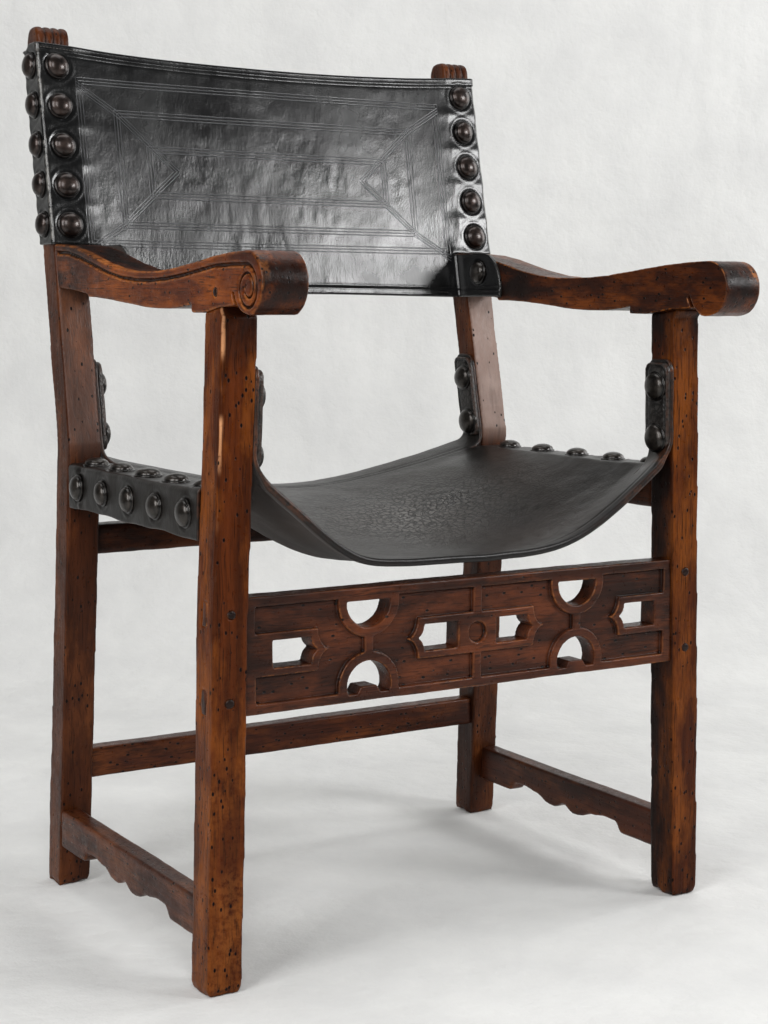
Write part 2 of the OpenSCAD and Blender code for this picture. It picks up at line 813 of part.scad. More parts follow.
module back_side_nails(side) {
    color(iron) placed() on_side(side) at_back_side() nail();
}

flap_nail_y = post_front(arm_rear_z) - 56;
flap_nail_z = (arm_rear_z + back_bottom_z) / 2 + 3;

// The nail in the flap, on the arm's inner face
module at_flap() {
    translate([arm_in - hide_t, flap_nail_y, flap_nail_z])
        rotate([0, -90, 0])
            children();
}

module flap_hole() {
    at_flap() nail_hole();
}

module flap_nails() {
    color(iron) placed() for (side = [LEFT, RIGHT]) on_side(side) at_flap() nail();
}

rail_nail_y0 = leg_back + nail_r + 15;
rail_nail_y1 = post_front(rail_z1) - nail_r - 12;
rail_top_shift = 8;             // how much further forward the nails on a rail's top are than those at its side

// Nails on the outer face of the right rail
module at_rail_side() {
    for (i = [0:rail_side_count - 1])
        translate([hide_out, step(rail_nail_y0, rail_nail_y1, i, rail_side_count - 1), rail_mid_z + 1])
            rotate([0, 90, 0])
                children();
}

function rail_top_count(side) = side == LEFT ? rail_top_count_left : rail_top_count_right;

// Nails on the top of the rail, set inwards of the ones at its side
module at_rail_top(side) {
    n = rail_top_count(side);
    for (i = [0:n - 1])
        translate([rail_mid_x, step(rail_nail_y0 - rail_top_shift, rail_nail_y1 - rail_top_shift, i, n - 1), hide_top_z])
            children();
}

module rail_side_holes() {
    at_rail_side() nail_hole();
}

module rail_top_holes(side) {
    at_rail_top(side) nail_hole();
}

module rail_side_nails(side) {
    color(iron) placed() on_side(side) at_rail_side() nail();
}

module rail_top_nails(side) {
    color(iron) placed() on_side(side) at_rail_top(side) nail();
}

ear_nail_low = 33;              // height of an ear's lower nail over the rail's leather
ear_nail_top = 30;              // distance of its upper nail below the ear's top

// Nails on the inner face of the right front leg
module at_front_ear() {
    for (z = [hide_top_z + ear_nail_low, front_ear_z - ear_nail_top])
        translate([leg_in(z) - ear_t, leg_mid_y, z])
            rotate([0, -90 - leg_tilt, 0])
                children();
}

// Nails on the inner face of the right rear post
module at_rear_ear() {
    for (z = [hide_top_z + ear_nail_low - 3, rear_ear_z - ear_nail_top])
        translate([post_in(z) - ear_t, post_front(z) + post_d / 2, z])
            rotate([0, -90 - post_tilt, 0])
                children();
}

module front_ear_holes() {
    at_front_ear() nail_hole();
}

module rear_ear_holes() {
    at_rear_ear() nail_hole();
}

module ear_nails(side) {
    color(iron) placed() on_side(side) {
        at_front_ear() nail();
        at_rear_ear() nail();
    }
}

// Seat leather

ear_t = hide_t + ear_pad_t;     // both layers of an ear
sling_end_x = rail_in - 5;      // where the sling's floor meets the hide on the rails
sling_y0 = 0.5;
sling_y1 = post_back(rail_z1) - 0.5;
sling_cols = 26;
sling_rows = 20;

// Smooth step from 0 at a to 1 at b
function ease(a, b, v) = let (t = max(0, min(1, (v - a) / (b - a)))) t * t * (3 - 2 * t);

// Half width of the sling's floor at y: it ends in the ears of the legs, of the rails and of the posts
function sling_end(y) = sling_end_x
    + (leg_in(front_ear_foot) - hide_t / 2 - sling_end_x) * (1 - ease(leg_back, leg_back + 20, y))
    + (post_in(rear_ear_foot) - hide_t / 2 - sling_end_x) * ease(post_front(rail_z1) - 20, post_front(rail_z1), y);

// How far the section has changed from the front's trough to the rear's curve
function rearward(y) = ease(leg_back + 60, sling_y1, y);

// Height of the sling's sides at y
function side_z(y) = hide_top_z - 0.4
    + front_climb * (1 - ease(0, leg_back + 24, y))
    + rear_climb * ease(post_front(rail_z1) - 20, sling_y1, y);

trough_x = 142;                 // where the front section starts to climb
trough_w = 38;                  // softness of that bend
trough_end = (sling_end_x - trough_x + norm([sling_end_x - trough_x, trough_w])) / 2;
curve_w = 120;                  // softness of the rear section's curve
curve_end = norm([sling_end_x, curve_w]) - curve_w;

// Share of the height from floor to side in the front and the rear section
function trough(x) = (abs(x) - trough_x + norm([abs(x) - trough_x, trough_w])) / 2 / trough_end;
function curve(x) = (norm([x, curve_w]) - curve_w) / curve_end;

// How far the floor hangs below the line from its front hem to its rear edge
function sag(x, y) = belly * (1 - pow(x / sling_end_x, 2)) * ease(0, 120, y) * (1 - ease(150, sling_y1, y));

// Height of the sling's upper face, at a distance from its middle and at y
function sling_z(dist, y) =
    let (x = dist * sling_end_x / sling_end(y),
         w = rearward(y),
         floor_z = sling_front_z + (sling_rear_z - sling_front_z) * w,
         share = trough(x) * (1 - w) + curve(x) * w)
    floor_z + (side_z(y) - floor_z) * share - sag(x, y);

// Vertical thickness of the sling, more where it is steep and in the front hem
function sling_depth(x, y) =
    let (slope = (sling_z(abs(x), y) - sling_z(abs(x) - 1, y)),
         t = hem_t + (sling_t - hem_t) * ease(26, 40, y))
    t * norm([1, slope]);

// Stations along y, closer together at both ends
function sling_y(j) = let (t = j / sling_rows) sling_y0 + (sling_y1 - sling_y0) * (t - sin(360 * t) * 0.085);
function sling_x(i, y) = sling_end(y) * (2 * i / sling_cols - 1);

// The sling's floor: one closed sheet, thick as the hide
module sling_floor() {
    n = sling_cols + 1;
    m = sling_rows + 1;
    top = [for (j = [0:sling_rows]) for (i = [0:sling_cols])
        let (y = sling_y(j), x = sling_x(i, y)) [x, y, sling_z(x, y)]];
    low = [for (j = [0:sling_rows]) for (i = [0:sling_cols])
        let (y = sling_y(j), x = sling_x(i, y)) [x, y, sling_z(x, y) - sling_depth(x, y)]];
    under = n * m;
    polyhedron(
        points = concat(top, low),
        faces = concat(
            [for (j = [0:sling_rows - 1]) for (i = [0:sling_cols - 1]) for (k = [0, 1])
                let (a = j * n + i) k == 0 ? [a, a + n, a + n + 1] : [a, a + n + 1, a + 1]],
            [for (j = [0:sling_rows - 1]) for (i = [0:sling_cols - 1]) for (k = [0, 1])
                let (a = under + j * n + i) k == 0 ? [a, a + n + 1, a + n] : [a, a + 1, a + n + 1]],
            [for (i = [0:sling_cols - 1]) for (k = [0, 1])
                let (a = i) k == 0 ? [a, a + 1, under + a + 1] : [a, under + a + 1, under + a]],
            [for (i = [0:sling_cols - 1]) for (k = [0, 1])
                let (a = sling_rows * n + i) k == 0 ? [a, under + a + 1, a + 1] : [a, under + a, under + a + 1]],
            [for (j = [0:sling_rows - 1]) for (k = [0, 1])
                let (a = j * n) k == 0 ? [a, under + a, under + a + n] : [a, under + a + n, a + n]],
            [for (j = [0:sling_rows - 1]) for (k = [0, 1])
                let (a = j * n + sling_cols) k == 0 ? [a, under + a + n, under + a] : [a, a + n, under + a + n]]));
}

wrap_y0 = leg_back + 0.3;
wrap_y1 = post_front(rail_z1) - 0.3;

// The hide over the right rail: across its top and down its outer face
module rail_wrap() {
    r = hide_t;
    along_y(wrap_y0, wrap_y1) union() {
        polygon([[sling_end_x - 3, rail_z1], [rail_out, rail_z1], [rail_out, rail_z0], [hide_out, rail_z0],
                 [hide_out, hide_top_z - r], [hide_out - r, hide_top_z], [sling_end_x - 3, hide_top_z]]);
        translate([hide_out - r, hide_top_z - r]) circle(r);
    }
}

// Side outline of an ear between two faces, with a round top
module ear_outline(y0, y1, z0, z1) {
    translate([y0, z0]) square([y1 - y0, z1 - z0 - ear_r]);
    translate([y0 + ear_r, z0]) square([y1 - y0 - 2 * ear_r, z1 - z0]);
    translate([y0 + ear_r, z1 - ear_r]) circle(ear_r);
    translate([y1 - ear_r, z1 - ear_r]) circle(ear_r);
}

// A layer on the right front leg's inner face, from depth a to depth b
module front_ear_layer(a, b, z0, z1) {
    intersection() {
        along_y(0.5, front_leg_d - 0.5)
            polygon([[leg_in(z0) - b, z0], [leg_in(z0) - a, z0], [leg_in(z1) - a, z1], [leg_in(z1) - b, z1]]);
        along_x(0, foot_w) ear_outline(0.5, front_leg_d - 0.5, z0, z1);
    }
}

// The same on the rear post, leaning back as the post does above its bend
module rear_ear_layer(a, b, z0, z1) {
    room = 12;
    intersection() {
        along_y(post_front(bend_z) - room, post_back(z1) + room)
            polygon([[post_in(z0) - b, z0], [post_in(z0) - a, z0], [post_in(z1) - a, z1], [post_in(z1) - b, z1]]);
        along_x(0, foot_w)
            translate([post_front(bend_z), bend_z]) rotate(-rake_tilt)
                ear_outline(1, post_d * cos(rake_tilt) - 0.5, z0 - bend_z - room, (z1 - bend_z) / cos(rake_tilt));
    }
}

front_ear_foot = hide_top_z + front_climb - 6;
rear_ear_foot = hide_top_z + rear_climb - 6;

module seat_leather() {
    color(hide) placed() difference() {
        union() {
            sling_floor();
            for (side = [LEFT, RIGHT]) on_side(side) {
                rail_wrap();
                front_ear_layer(0, hide_t, front_ear_foot - 8, front_ear_z);
                rear_ear_layer(0, hide_t, rear_ear_foot - 4, rear_ear_z);
            }
        }
        for (side = [LEFT, RIGHT]) on_side(side) {
            rail_side_holes();
            rail_top_holes(side);
            front_ear_holes();
            rear_ear_holes();
        }
    }
}

module front_ear_pad(side) {
    color(hide) placed() on_side(side) difference() {
        front_ear_layer(hide_t, ear_t, front_ear_foot + 7, front_ear_z - 3);
        front_ear_holes();
    }
}

module rear_ear_pad(side) {
    color(hide) placed() on_side(side) difference() {
        rear_ear_layer(hide_t, ear_t, rear_ear_foot + 9, rear_ear_z - 3);
        rear_ear_holes();
    }
}

// Back leather

hide_front_t = hide_t * norm([1, back_rake]);   // its depth along y, as the back is raked
hide_side_t = hide_t * norm([1, rear_splay]);
back_steps = 16;
back_half = post_out(back_top_z) + hide_side_t;

// Share of the way to the middle, as a parabola
function bow(x) = 1 - pow(x / back_half, 2);

// Outline of the back from the front: full width over the arms, then between them
module back_front_outline() {
    polygon(concat(
        [for (i = [0:back_steps])
            let (x = step(-back_half, back_half, i, back_steps)) [x, back_top_z - back_top_dip * bow(x)]],
        [[post_out(back_wrap_z0) + hide_side_t, back_wrap_z0], [arm_in, back_wrap_z0]],
        [for (i = [0:back_steps])
            let (x = step(arm_in, -arm_in, i, back_steps)) [x, back_bottom_z + back_bottom_rise * bow(x)]],
        [[-arm_in, back_wrap_z0], [-post_out(back_wrap_z0) - hide_side_t, back_wrap_z0]]));
}

// The hide between two lines in front of the posts, a and b forward of them
module raked_sheet(a, b, z0, z1) {
    along_x(-foot_w / 2, foot_w / 2)
        polygon([[post_front(z0) - b, z0], [post_front(z0) - a, z0],
                 [post_front(z1) - a, z1], [post_front(z1) - b, z1]]);
}

// The part of the hide that lies on the right post's outer face
module back_wrap() {
    z1 = back_top_z;
    intersection() {
        along_y(0, post_back(z1))
            polygon([[post_out(back_wrap_z0), back_wrap_z0], [post_out(back_wrap_z0) + hide_side_t, back_wrap_z0],
                     [post_out(z1) + hide_side_t, z1], [post_out(z1), z1]]);
        along_x(0, foot_w)
            polygon([[post_front(back_wrap_z0) - hide_front_t, back_wrap_z0],
                     [post_back(back_wrap_z0) - 1, back_wrap_z0],
                     [post_back(z1 - 8) - 1, z1 - 8], [post_front(z1) + post_d / 2, z1],
                     [post_front(z1) - hide_front_t, z1]]);
    }
}

flap_steps = 6;

// The flap that is turned forward on the right arm's inner face
module back_flap() {
    y_low = post_front(back_bottom_z) - flap_len;
    z_mid = back_bottom_z + 5;
    z_top = arm_rear_z - 1.5;
    along_x(arm_in - hide_t, arm_in)
        polygon(concat(
            [[post_front(back_bottom_z) - 1, back_bottom_z], [y_low, back_bottom_z]],
            [for (i = [0:flap_steps])
                let (a = 90 * i / flap_steps)
                [y_low + flap_cut * (1 - cos(a)), z_mid + (z_top - z_mid) * sin(a)]],
            [[post_front(z_top) - 1, z_top]]));
}

module back_leather() {
    color(hide) placed() difference() {
        union() {
            intersection() {
                along_y(0, foot_depth + post_d) back_front_outline();
                raked_sheet(0, hide_front_t, back_bottom_z - over, back_top_z + over);
            }
            for (side = [LEFT, RIGHT]) on_side(side) {
                back_wrap();
                back_flap();
            }
        }
        for (side = [LEFT, RIGHT]) on_side(side) {
            back_front_holes();
            back_side_holes();
            flap_hole();
        }
    }
}

front_leg(LEFT);  // front_leg_left
front_leg(RIGHT);  // front_leg_right
rear_post(LEFT);  // rear_post_left
rear_post(RIGHT);  // rear_post_right
arm(LEFT);  // arm_left
arm(RIGHT);  // arm_right
front_stretcher();
rear_stretcher();
rear_seat_rail();
side_stretcher(LEFT);  // side_stretcher_left
side_stretcher(RIGHT);  // side_stretcher_right
seat_rail(LEFT);  // seat_rail_left
seat_rail(RIGHT);  // seat_rail_right
front_stretcher_pegs();
arm_pegs();
seat_leather();
front_ear_pad(LEFT);  // front_ear_pad_left
front_ear_pad(RIGHT);  // front_ear_pad_right
rear_ear_pad(LEFT);  // rear_ear_pad_left
rear_ear_pad(RIGHT);  // rear_ear_pad_right
back_leather();
back_front_nails(LEFT);  // back_front_nails_left
back_front_nails(RIGHT);  // back_front_nails_right
back_side_nails(LEFT);  // back_side_nails_left
back_side_nails(RIGHT);  // back_side_nails_right
flap_nails();
rail_side_nails(LEFT);  // rail_side_nails_left
rail_side_nails(RIGHT);  // rail_side_nails_right
rail_top_nails(LEFT);  // rail_top_nails_left
rail_top_nails(RIGHT);  // rail_top_nails_right
ear_nails(LEFT);  // ear_nails_left
ear_nails(RIGHT);  // ear_nails_right
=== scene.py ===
"""Leather armchair: a worn, waxed walnut frame with a slung seat and a nailed back of thick black hide.

The wooden pieces are the CAD's own solids with rubbed arrises and the unevenness of hand tools. The seat and
the back are sheets built along the paths that the hide takes, and the nails are forged domes.
Lengths are in metres. Heights are from the floor, and depths are from the front of the front legs.
"""

import math

import bmesh
import bpy
import numpy as np
from mathutils import Matrix, Vector


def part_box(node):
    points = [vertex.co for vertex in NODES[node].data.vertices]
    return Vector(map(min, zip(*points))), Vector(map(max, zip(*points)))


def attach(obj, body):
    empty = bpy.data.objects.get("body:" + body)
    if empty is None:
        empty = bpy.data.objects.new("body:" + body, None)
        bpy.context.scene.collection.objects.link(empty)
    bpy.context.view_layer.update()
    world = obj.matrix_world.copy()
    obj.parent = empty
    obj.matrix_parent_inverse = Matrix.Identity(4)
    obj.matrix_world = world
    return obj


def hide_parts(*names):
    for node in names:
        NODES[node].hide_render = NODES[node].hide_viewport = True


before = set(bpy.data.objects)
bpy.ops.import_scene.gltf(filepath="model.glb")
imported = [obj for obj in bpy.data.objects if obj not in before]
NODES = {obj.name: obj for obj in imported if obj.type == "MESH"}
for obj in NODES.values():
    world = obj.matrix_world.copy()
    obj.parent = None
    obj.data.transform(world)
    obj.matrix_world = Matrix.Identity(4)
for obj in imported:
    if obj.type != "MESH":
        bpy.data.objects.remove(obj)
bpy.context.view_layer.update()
MM = 0.001

# Sizes of the chair that its leather follows
LEG_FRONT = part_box("front_leg_left")[0].y
FOOT_W, REAR_FOOT_W = 640 * MM, 629 * MM
LEG_W, LEG_D, LEG_SPLAY = 37 * MM, 39 * MM, 0.029
POST_W, POST_D, POST_SPLAY = 38 * MM, 37 * MM, 0.016
POST_FOOT_FRONT, POST_LEAN, POST_RAKE, BEND_Z = 405 * MM, 0.058, 0.189, 526 * MM
HEAD_Z, HEAD_LOBES = 973 * MM, 4
RAIL_Z0, RAIL_Z1 = 457 * MM, 500.5 * MM
HIDE, HEM = 4.5 * MM, 8 * MM
ARM_IN, ARM_REAR_Z = 253.85 * MM, 753 * MM
BACK_TOP, BACK_DIP, BACK_LOW, BACK_RISE = 984 * MM, 9 * MM, 697 * MM, 5 * MM
NAIL_R, EAR_NAIL_R, NAIL_H = 15 * MM, 17 * MM, 8.5 * MM


def leg_in(z):
    return FOOT_W / 2 - LEG_SPLAY * z - LEG_W


def post_out(z):
    return REAR_FOOT_W / 2 - POST_SPLAY * z


def post_in(z):
    return post_out(z) - POST_W


def post_front(z):
    """Depth of a rear post's front face at a height: it leans forward to the bend and rakes back above it."""
    return POST_FOOT_FRONT - POST_LEAN * np.minimum(z, BEND_Z) + POST_RAKE * np.maximum(0, z - BEND_Z)


# Shapes


def ease(a, b, v):
    """0 up to a, 1 from b on, and smooth between."""
    t = np.clip((np.asarray(v, float) - a) / (b - a), 0, 1)
    return t * t * (3 - 2 * t)


def bell(middle, width, v):
    """1 at the middle, and nearly 0 two widths away."""
    return np.exp(-(((np.asarray(v, float) - middle) / width) ** 2))


def noise(points, size, seed):
    """Smooth noise from -1 to 1 at each point, with bumps about size metres wide."""
    p = np.asarray(points, float) / size + seed * 7.31
    cell = np.floor(p).astype(np.int64)
    f = p - cell
    f = f * f * (3 - 2 * f)
    total = np.zeros(len(p))
    for corner in range(8):
        step = np.array([corner & 1, corner >> 1 & 1, corner >> 2 & 1])
        c = cell + step
        h = (c[:, 0] * 73856093 ^ c[:, 1] * 19349663 ^ c[:, 2] * 83492791 ^ seed * 2654435) & 0xFFFFFFFF
        h = (h ^ (h >> 15)) * 2246822519 & 0xFFFFFFFF
        h = (h ^ (h >> 13)) * 3266489917 & 0xFFFFFFFF
        value = (h ^ (h >> 16)) / 0x7FFFFFFF - 1.0
        weight = np.prod(np.where(step, f, 1 - f), axis=1)
        total += weight * value
    return total


def points_of(mesh):
    co = np.empty(len(mesh.vertices) * 3)
    mesh.vertices.foreach_get("co", co)
    return co.reshape(-1, 3)


def normals_of(mesh):
    n = np.empty(len(mesh.vertices) * 3, np.float32)
    mesh.vertices.foreach_get("normal", n)
    return n.reshape(-1, 3).astype(float)


def edges_of(mesh):
    e = np.empty(len(mesh.edges) * 2, np.int32)
    mesh.edges.foreach_get("vertices", e)
    return e.reshape(-1, 2)


def move_points(mesh, co):
    mesh.vertices.foreach_set("co", np.ascontiguousarray(co, np.float32).ravel())
    mesh.update()


def keep_field(mesh, name, values):
    """Stores a value at each point, which the finishes read."""
    field = mesh.attributes.new(name, "FLOAT", "POINT")
    field.data.foreach_set("value", np.clip(values, 0, 1).astype(np.float32))


def smoothed(co, edges, rounds):
    """The points after each has moved half way to its neighbours' mean, several times."""
    a, b = edges[:, 0], edges[:, 1]
    n = len(co)
    count = np.maximum(np.bincount(a, minlength=n) + np.bincount(b, minlength=n), 1)[:, None]
    for _ in range(rounds):
        total = np.stack([np.bincount(a, co[b, k], n) + np.bincount(b, co[a, k], n) for k in range(3)], 1)
        co = co + 0.5 * (total / count - co)
    return co


# How far the true chair has moved: its back leans to the left, most at its top left corner, and its left
# front leg has bowed. Its left arm was made shorter than drawn, and its right arm longer
BACK_LEAN, CORNER_LEAN, LEG_BOW = 2.0 * MM, 3.0 * MM, 2.6 * MM
LEFT_ARM_SHORT, RIGHT_ARM_LONG = 6.0 * MM, 6.5 * MM


def settled(co):
    """Where the points of the chair lie today."""
    x, y, z = co.T
    depth = y - LEG_FRONT
    rear = ease(50 * MM, 330 * MM, depth)
    left = ease(20 * MM, -220 * MM, x)
    lean = BACK_LEAN * ease(0.3, 0.9, z) + CORNER_LEAN * left * ease(0.72, 1.0, z)
    bow_out = LEG_BOW * left * bell(0.38, 0.16, z)
    nose = ease(674 * MM, 682 * MM, z) * ease(50 * MM, -20 * MM, depth)
    moved = co.copy()
    moved[:, 0] -= rear * lean + (1 - rear) * bow_out
    moved[:, 1] += nose * np.where(x < 0, LEFT_ARM_SHORT, -RIGHT_ARM_LONG)
    return moved


def add_piece(name, mesh, finishes, slot, *nodes):
    """Puts a mesh in the scene as a piece of the chair that stands for some CAD nodes."""
    move_points(mesh, settled(points_of(mesh)))
    piece = bpy.data.objects.new(name, mesh)
    bpy.context.scene.collection.objects.link(piece)
    for finish in finishes:
        mesh.materials.append(finish)
    mesh.shade_smooth()
    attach(piece, "root")
    if nodes:
        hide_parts(*nodes)
    return piece


def mesh_from(name, points, faces):
    mesh = bpy.data.meshes.new(name)
    mesh.from_pydata([tuple(p) for p in points], [], faces)
    mesh.update()
    return mesh


def track(*coordinates):
    """Points from their coordinates, of which some may be a single number."""
    return np.column_stack(np.broadcast_arrays(*coordinates))


def quarter_turn(steps):
    """How far a quarter circle has gone along and off its first direction, at each step."""
    a = np.linspace(0, np.pi / 2, steps + 1)[1:]
    return np.sin(a), 1 - np.cos(a)


def grid_faces(rows, cols, start=0, closed=False):
    """Quads of a grid whose points run along the columns first."""
    faces = []
    for j in range(rows - 1):
        for i in range(cols if closed else cols - 1):
            a = start + j * cols + i
            b = start + j * cols + (i + 1) % cols
            faces.append((a, b, b + cols, a + cols))
    return faces


def weld(mesh):
    work = bmesh.new()
    work.from_mesh(mesh)
    bmesh.ops.remove_doubles(work, verts=work.verts, dist=0.02 * MM)
    work.to_mesh(mesh)
    work.free()
    mesh.update()


def welded_grids(name, grids):
    """One mesh from several grids of points, welded where their edges meet."""
    points, faces = [], []
    for grid in grids:
        rows, cols = grid.shape[:2]
        faces += grid_faces(rows, cols, sum(len(p) for p in points))
        points.append(grid.reshape(-1, 3))
    mesh = mesh_from(name, np.concatenate(points), faces)
    weld(mesh)
    return mesh


def hide_from(sheet, thick, fields, edge_fields):
    """A closed piece of hide under its grain side, the sheet: the flesh side lies thick below it, and a
    round, burnished edge joins the two. Grain and edge take the first finish, and the flesh side takes the
    second."""
    co = points_of(sheet)
    out = normals_of(sheet)
    count = len(co)
    quads = np.array([face.vertices[:] for face in sheet.polygons])
    starts = quads.ravel()
    ends = np.roll(quads, -1, axis=1).ravel()
    open_edge = ~np.isin(starts * count + ends, ends * count + starts)
    starts, ends = starts[open_edge], ends[open_edge]
    away = np.zeros_like(co)
    along = np.cross(co[ends] - co[starts], out[starts])
    along /= np.maximum(np.linalg.norm(along, axis=1), 1e-9)[:, None]
    np.add.at(away, starts, along)
    np.add.at(away, ends, along)
    rim = np.unique(starts)
    place = np.full(count, -1)
    place[rim] = np.arange(len(rim))
    away = away[rim] / np.maximum(np.linalg.norm(away[rim], axis=1), 1e-9)[:, None]
    flesh = co - out * thick[:, None]
    middle, half = (co[rim] + flesh[rim]) / 2, thick[rim, None] / 2
    turns = [math.pi * k / 5 for k in range(1, 5)]  # round the edge, from the grain side to the flesh side
    rings = [middle + out[rim] * half * math.cos(a) + away * half * 0.5 * math.sin(a) for a in turns]
    points = np.concatenate([co, flesh] + rings)
    own = np.arange(count)
    rows = [own] + [2 * count + k * len(rim) + place for k in range(len(turns))] + [count + own]
    edge = [np.stack([a[ends], a[starts], b[starts], b[ends]], 1) for a, b in zip(rows[:-1], rows[1:])]
    faces = np.concatenate([quads] + edge + [quads[:, ::-1] + count])
    mesh = mesh_from(sheet.name, points, faces.tolist())
    kinds = np.zeros(len(faces), np.int32)
    kinds[-len(quads):] = 1
    mesh.polygons.foreach_set("material_index", kinds)
    for name, values in fields.items():
        worn = np.maximum(values[rim], edge_fields.get(name, np.zeros(count))[rim])
        keep_field(mesh, name, np.concatenate([values, values * 0] + [worn] * len(turns)))
    bpy.data.meshes.remove(sheet)
    return mesh


# Finishes


def colour(hex_code):
    """An sRGB hex colour as the linear values that the shaders take."""
    parts = [int(hex_code[i : i + 2], 16) / 255 for i in (1, 3, 5)]
    return tuple(c / 12.92 if c <= 0.04045 else ((c + 0.055) / 1.055) ** 2.4 for c in parts) + (1.0,)


def put(tree, kind, inputs=None, **settings):
    """Adds a node, with its settings, and with values or other nodes' outputs in its inputs."""
    made = tree.nodes.new("ShaderNode" + kind)
    for key, value in settings.items():
        setattr(made, key, value)
    for key, value in (inputs or {}).items():
        if isinstance(value, bpy.types.Node):
            value = value.outputs[0]
        if isinstance(value, bpy.types.NodeSocket):
            tree.links.new(value, made.inputs[key])
        else:
            made.inputs[key].default_value = value
    return made


def coats(tree, ground, layers):
    """A ground colour under coats of other colours, each laid on by a share from 0 to 1."""
    base = colour(ground)
    for share, hex_code in layers:
        base = put(tree, "Mix", {0: share, 6: base, 7: colour(hex_code)}, data_type="RGBA").outputs[2]
    return base


def new_finish(name, **shader_values):
    """A material with its shader's constant values set, and the place on the object to draw from."""
    finish = bpy.data.materials.new(name)
    finish.use_nodes = True
    tree = finish.node_tree
    shader = tree.nodes["Principled BSDF"]
    for key, value in shader_values.items():
        shader.inputs[key.replace("_", " ")].default_value = value
    place = put(tree, "TexCoord").outputs["Object"]
    return finish, tree, shader, place


def per_mm(width):
    """Texture scale that gives features of this width in millimetres."""
    return 1000 / width


def bring_to(shader, tree, base, rough, height, strength, depth=0.6 * MM):
    """Leads a finish's colour, roughness and relief to its shader. A rough of None keeps the shader's own."""
    bump = put(tree, "Bump", {"Height": height, "Strength": strength, "Distance": depth})
    tree.links.new(base, shader.inputs["Base Color"])
    tree.links.new(bump.outputs[0], shader.inputs["Normal"])
    if rough is not None:
        tree.links.new(rough.outputs[0], shader.inputs["Roughness"])


# Axes that a grain runs along
ACROSS, DEEP, UPRIGHT = 0, 1, 2
# Fields that each piece of wood keeps, for its finish: wear and dirt, with painted shade, sheen and highlight
WOOD_WEAR_AND_SHADING = ("smoke_and_shade", "dust_and_sheen", "rubbed", "scraped", "grime_and_shade")


def waxed_walnut(name, along, low, high, warm, shine=0.17):
    """Walnut, hand planed and waxed for centuries: streaks from low to high with warm patches, rubbed to
    orange on its arrises with a painted highlight there, near black in its corners and where hands and smoke
    reached it, deepened by painted shade, pale grey where dust lies with a painted sheen, with open pores,
    scattered worm holes and a soft shine. along is the axis of the grain."""
    finish, tree, shader, place = new_finish(name, IOR=1.5, Specular_IOR_Level=shine)
    smoke_and_shade, dust_and_sheen, rubbed, scraped, grime_and_shade = [
        put(tree, "Attribute", attribute_name=field).outputs["Fac"] for field in WOOD_WEAR_AND_SHADING]
    drawn = []
    for squeeze in (0.05, 0.35, 0.6):
        scale = [1.0, 1.0, 1.0]
        scale[along] = squeeze
        drawn.append(put(tree, "Mapping", {"Vector": place, "Scale": scale}))
    lengthways, slowly, bored = drawn
    wave = put(tree, "TexNoise", {"Vector": place, "Scale": per_mm(90), "Detail": 2.0})
    waver = put(tree, "VectorMath", {0: wave.outputs["Color"], "Scale": 6 * MM}, operation="SCALE")
    bent = put(tree, "VectorMath", {0: lengthways, 1: waver}, operation="ADD")
    figure = put(tree, "TexNoise", {"Vector": bent, "Scale": per_mm(13), "Detail": 4.0, "Roughness": 0.6})
    streak = put(tree, "TexNoise", {"Vector": bent, "Scale": per_mm(3.4), "Detail": 4.0, "Roughness": 0.6})
    # Pores are drawn twice as wide as they are, so that they show
    pore = put(tree, "TexNoise", {"Vector": bent, "Scale": per_mm(1.5), "Detail": 1.0})
    patch = put(tree, "TexNoise", {"Vector": slowly, "Scale": per_mm(38), "Detail": 5.0, "Roughness": 0.65})
    broken = put(tree, "TexNoise", {"Vector": place, "Scale": per_mm(7), "Detail": 5.0, "Roughness": 0.7})

    layers = []
    # Figure, warm patches, dark streaks and open pores
    for pattern, start, end, most, hex_code in (
            (figure, 0.34, 0.66, 1.0, high), (patch, 0.46, 0.64, 0.8, warm),
            (streak, 0.46, 0.36, 0.5, low), (pore, 0.4, 0.33, 0.6, "#170a05")):
        layers.append((put(tree, "MapRange", {0: pattern, 1: start, 2: end, 4: most}), hex_code))
    # Smoke and hands have left dark patches, which also carry painted shade. Dust and dry wood are pale and
    # grey, with a painted sheen. Rubbed arrises have lost their wax, so they are lighter and more orange,
    # which also paints a highlight, and a scrape shows fresh wood. All of it is uneven
    for field, pattern, start, end, least, hex_code in (
            (smoke_and_shade, patch, 0.62, 0.4, 0.5, "#150b08"), (dust_and_sheen, figure, 0.25, 0.5, 0.5, "#a08a80"),
            (rubbed, broken, 0.42, 0.56, 0.0, "#a8652f"), (scraped, broken, 0.3, 0.46, 0.0, "#cf9468")):
        uneven = put(tree, "MapRange", {0: pattern, 1: start, 2: end, 3: least})
        layers.append((put(tree, "Math", {0: field, 1: uneven}, operation="MULTIPLY"), hex_code))
    # Worm holes, in groups
    worm = put(tree, "TexVoronoi", {"Vector": bored, "Scale": per_mm(6.5)})
    group = put(tree, "TexNoise", {"Vector": place, "Scale": per_mm(50), "Detail": 1.0})
    chance = put(tree, "Math", {0: worm.outputs["Color"], 1: group}, operation="MULTIPLY")
    taken = put(tree, "Math", {0: chance, 1: 0.27}, operation="GREATER_THAN")
    hole = put(tree, "MapRange", {0: worm.outputs["Distance"], 1: 0.23, 2: 0.17})
    hole = put(tree, "Math", {0: hole, 1: taken}, operation="MULTIPLY")
    # Old wax and dust lie in the corners, and the corners are darkened further as painted shade
    layers += [(grime_and_shade, "#0c0605"), (hole, "#070302")]

    height = streak
    for pattern, rise in ((pore, 0.6), (broken, 0.8), (hole, -1.6)):
        height = put(tree, "Math", {0: pattern, 1: rise, 2: height}, operation="MULTIPLY_ADD")
    rough = put(tree, "MapRange", {0: broken, 1: 0.35, 2: 0.65, 3: 0.26, 4: 0.46})
    bring_to(shader, tree, coats(tree, low, layers), rough, height, 0.45)
    return finish


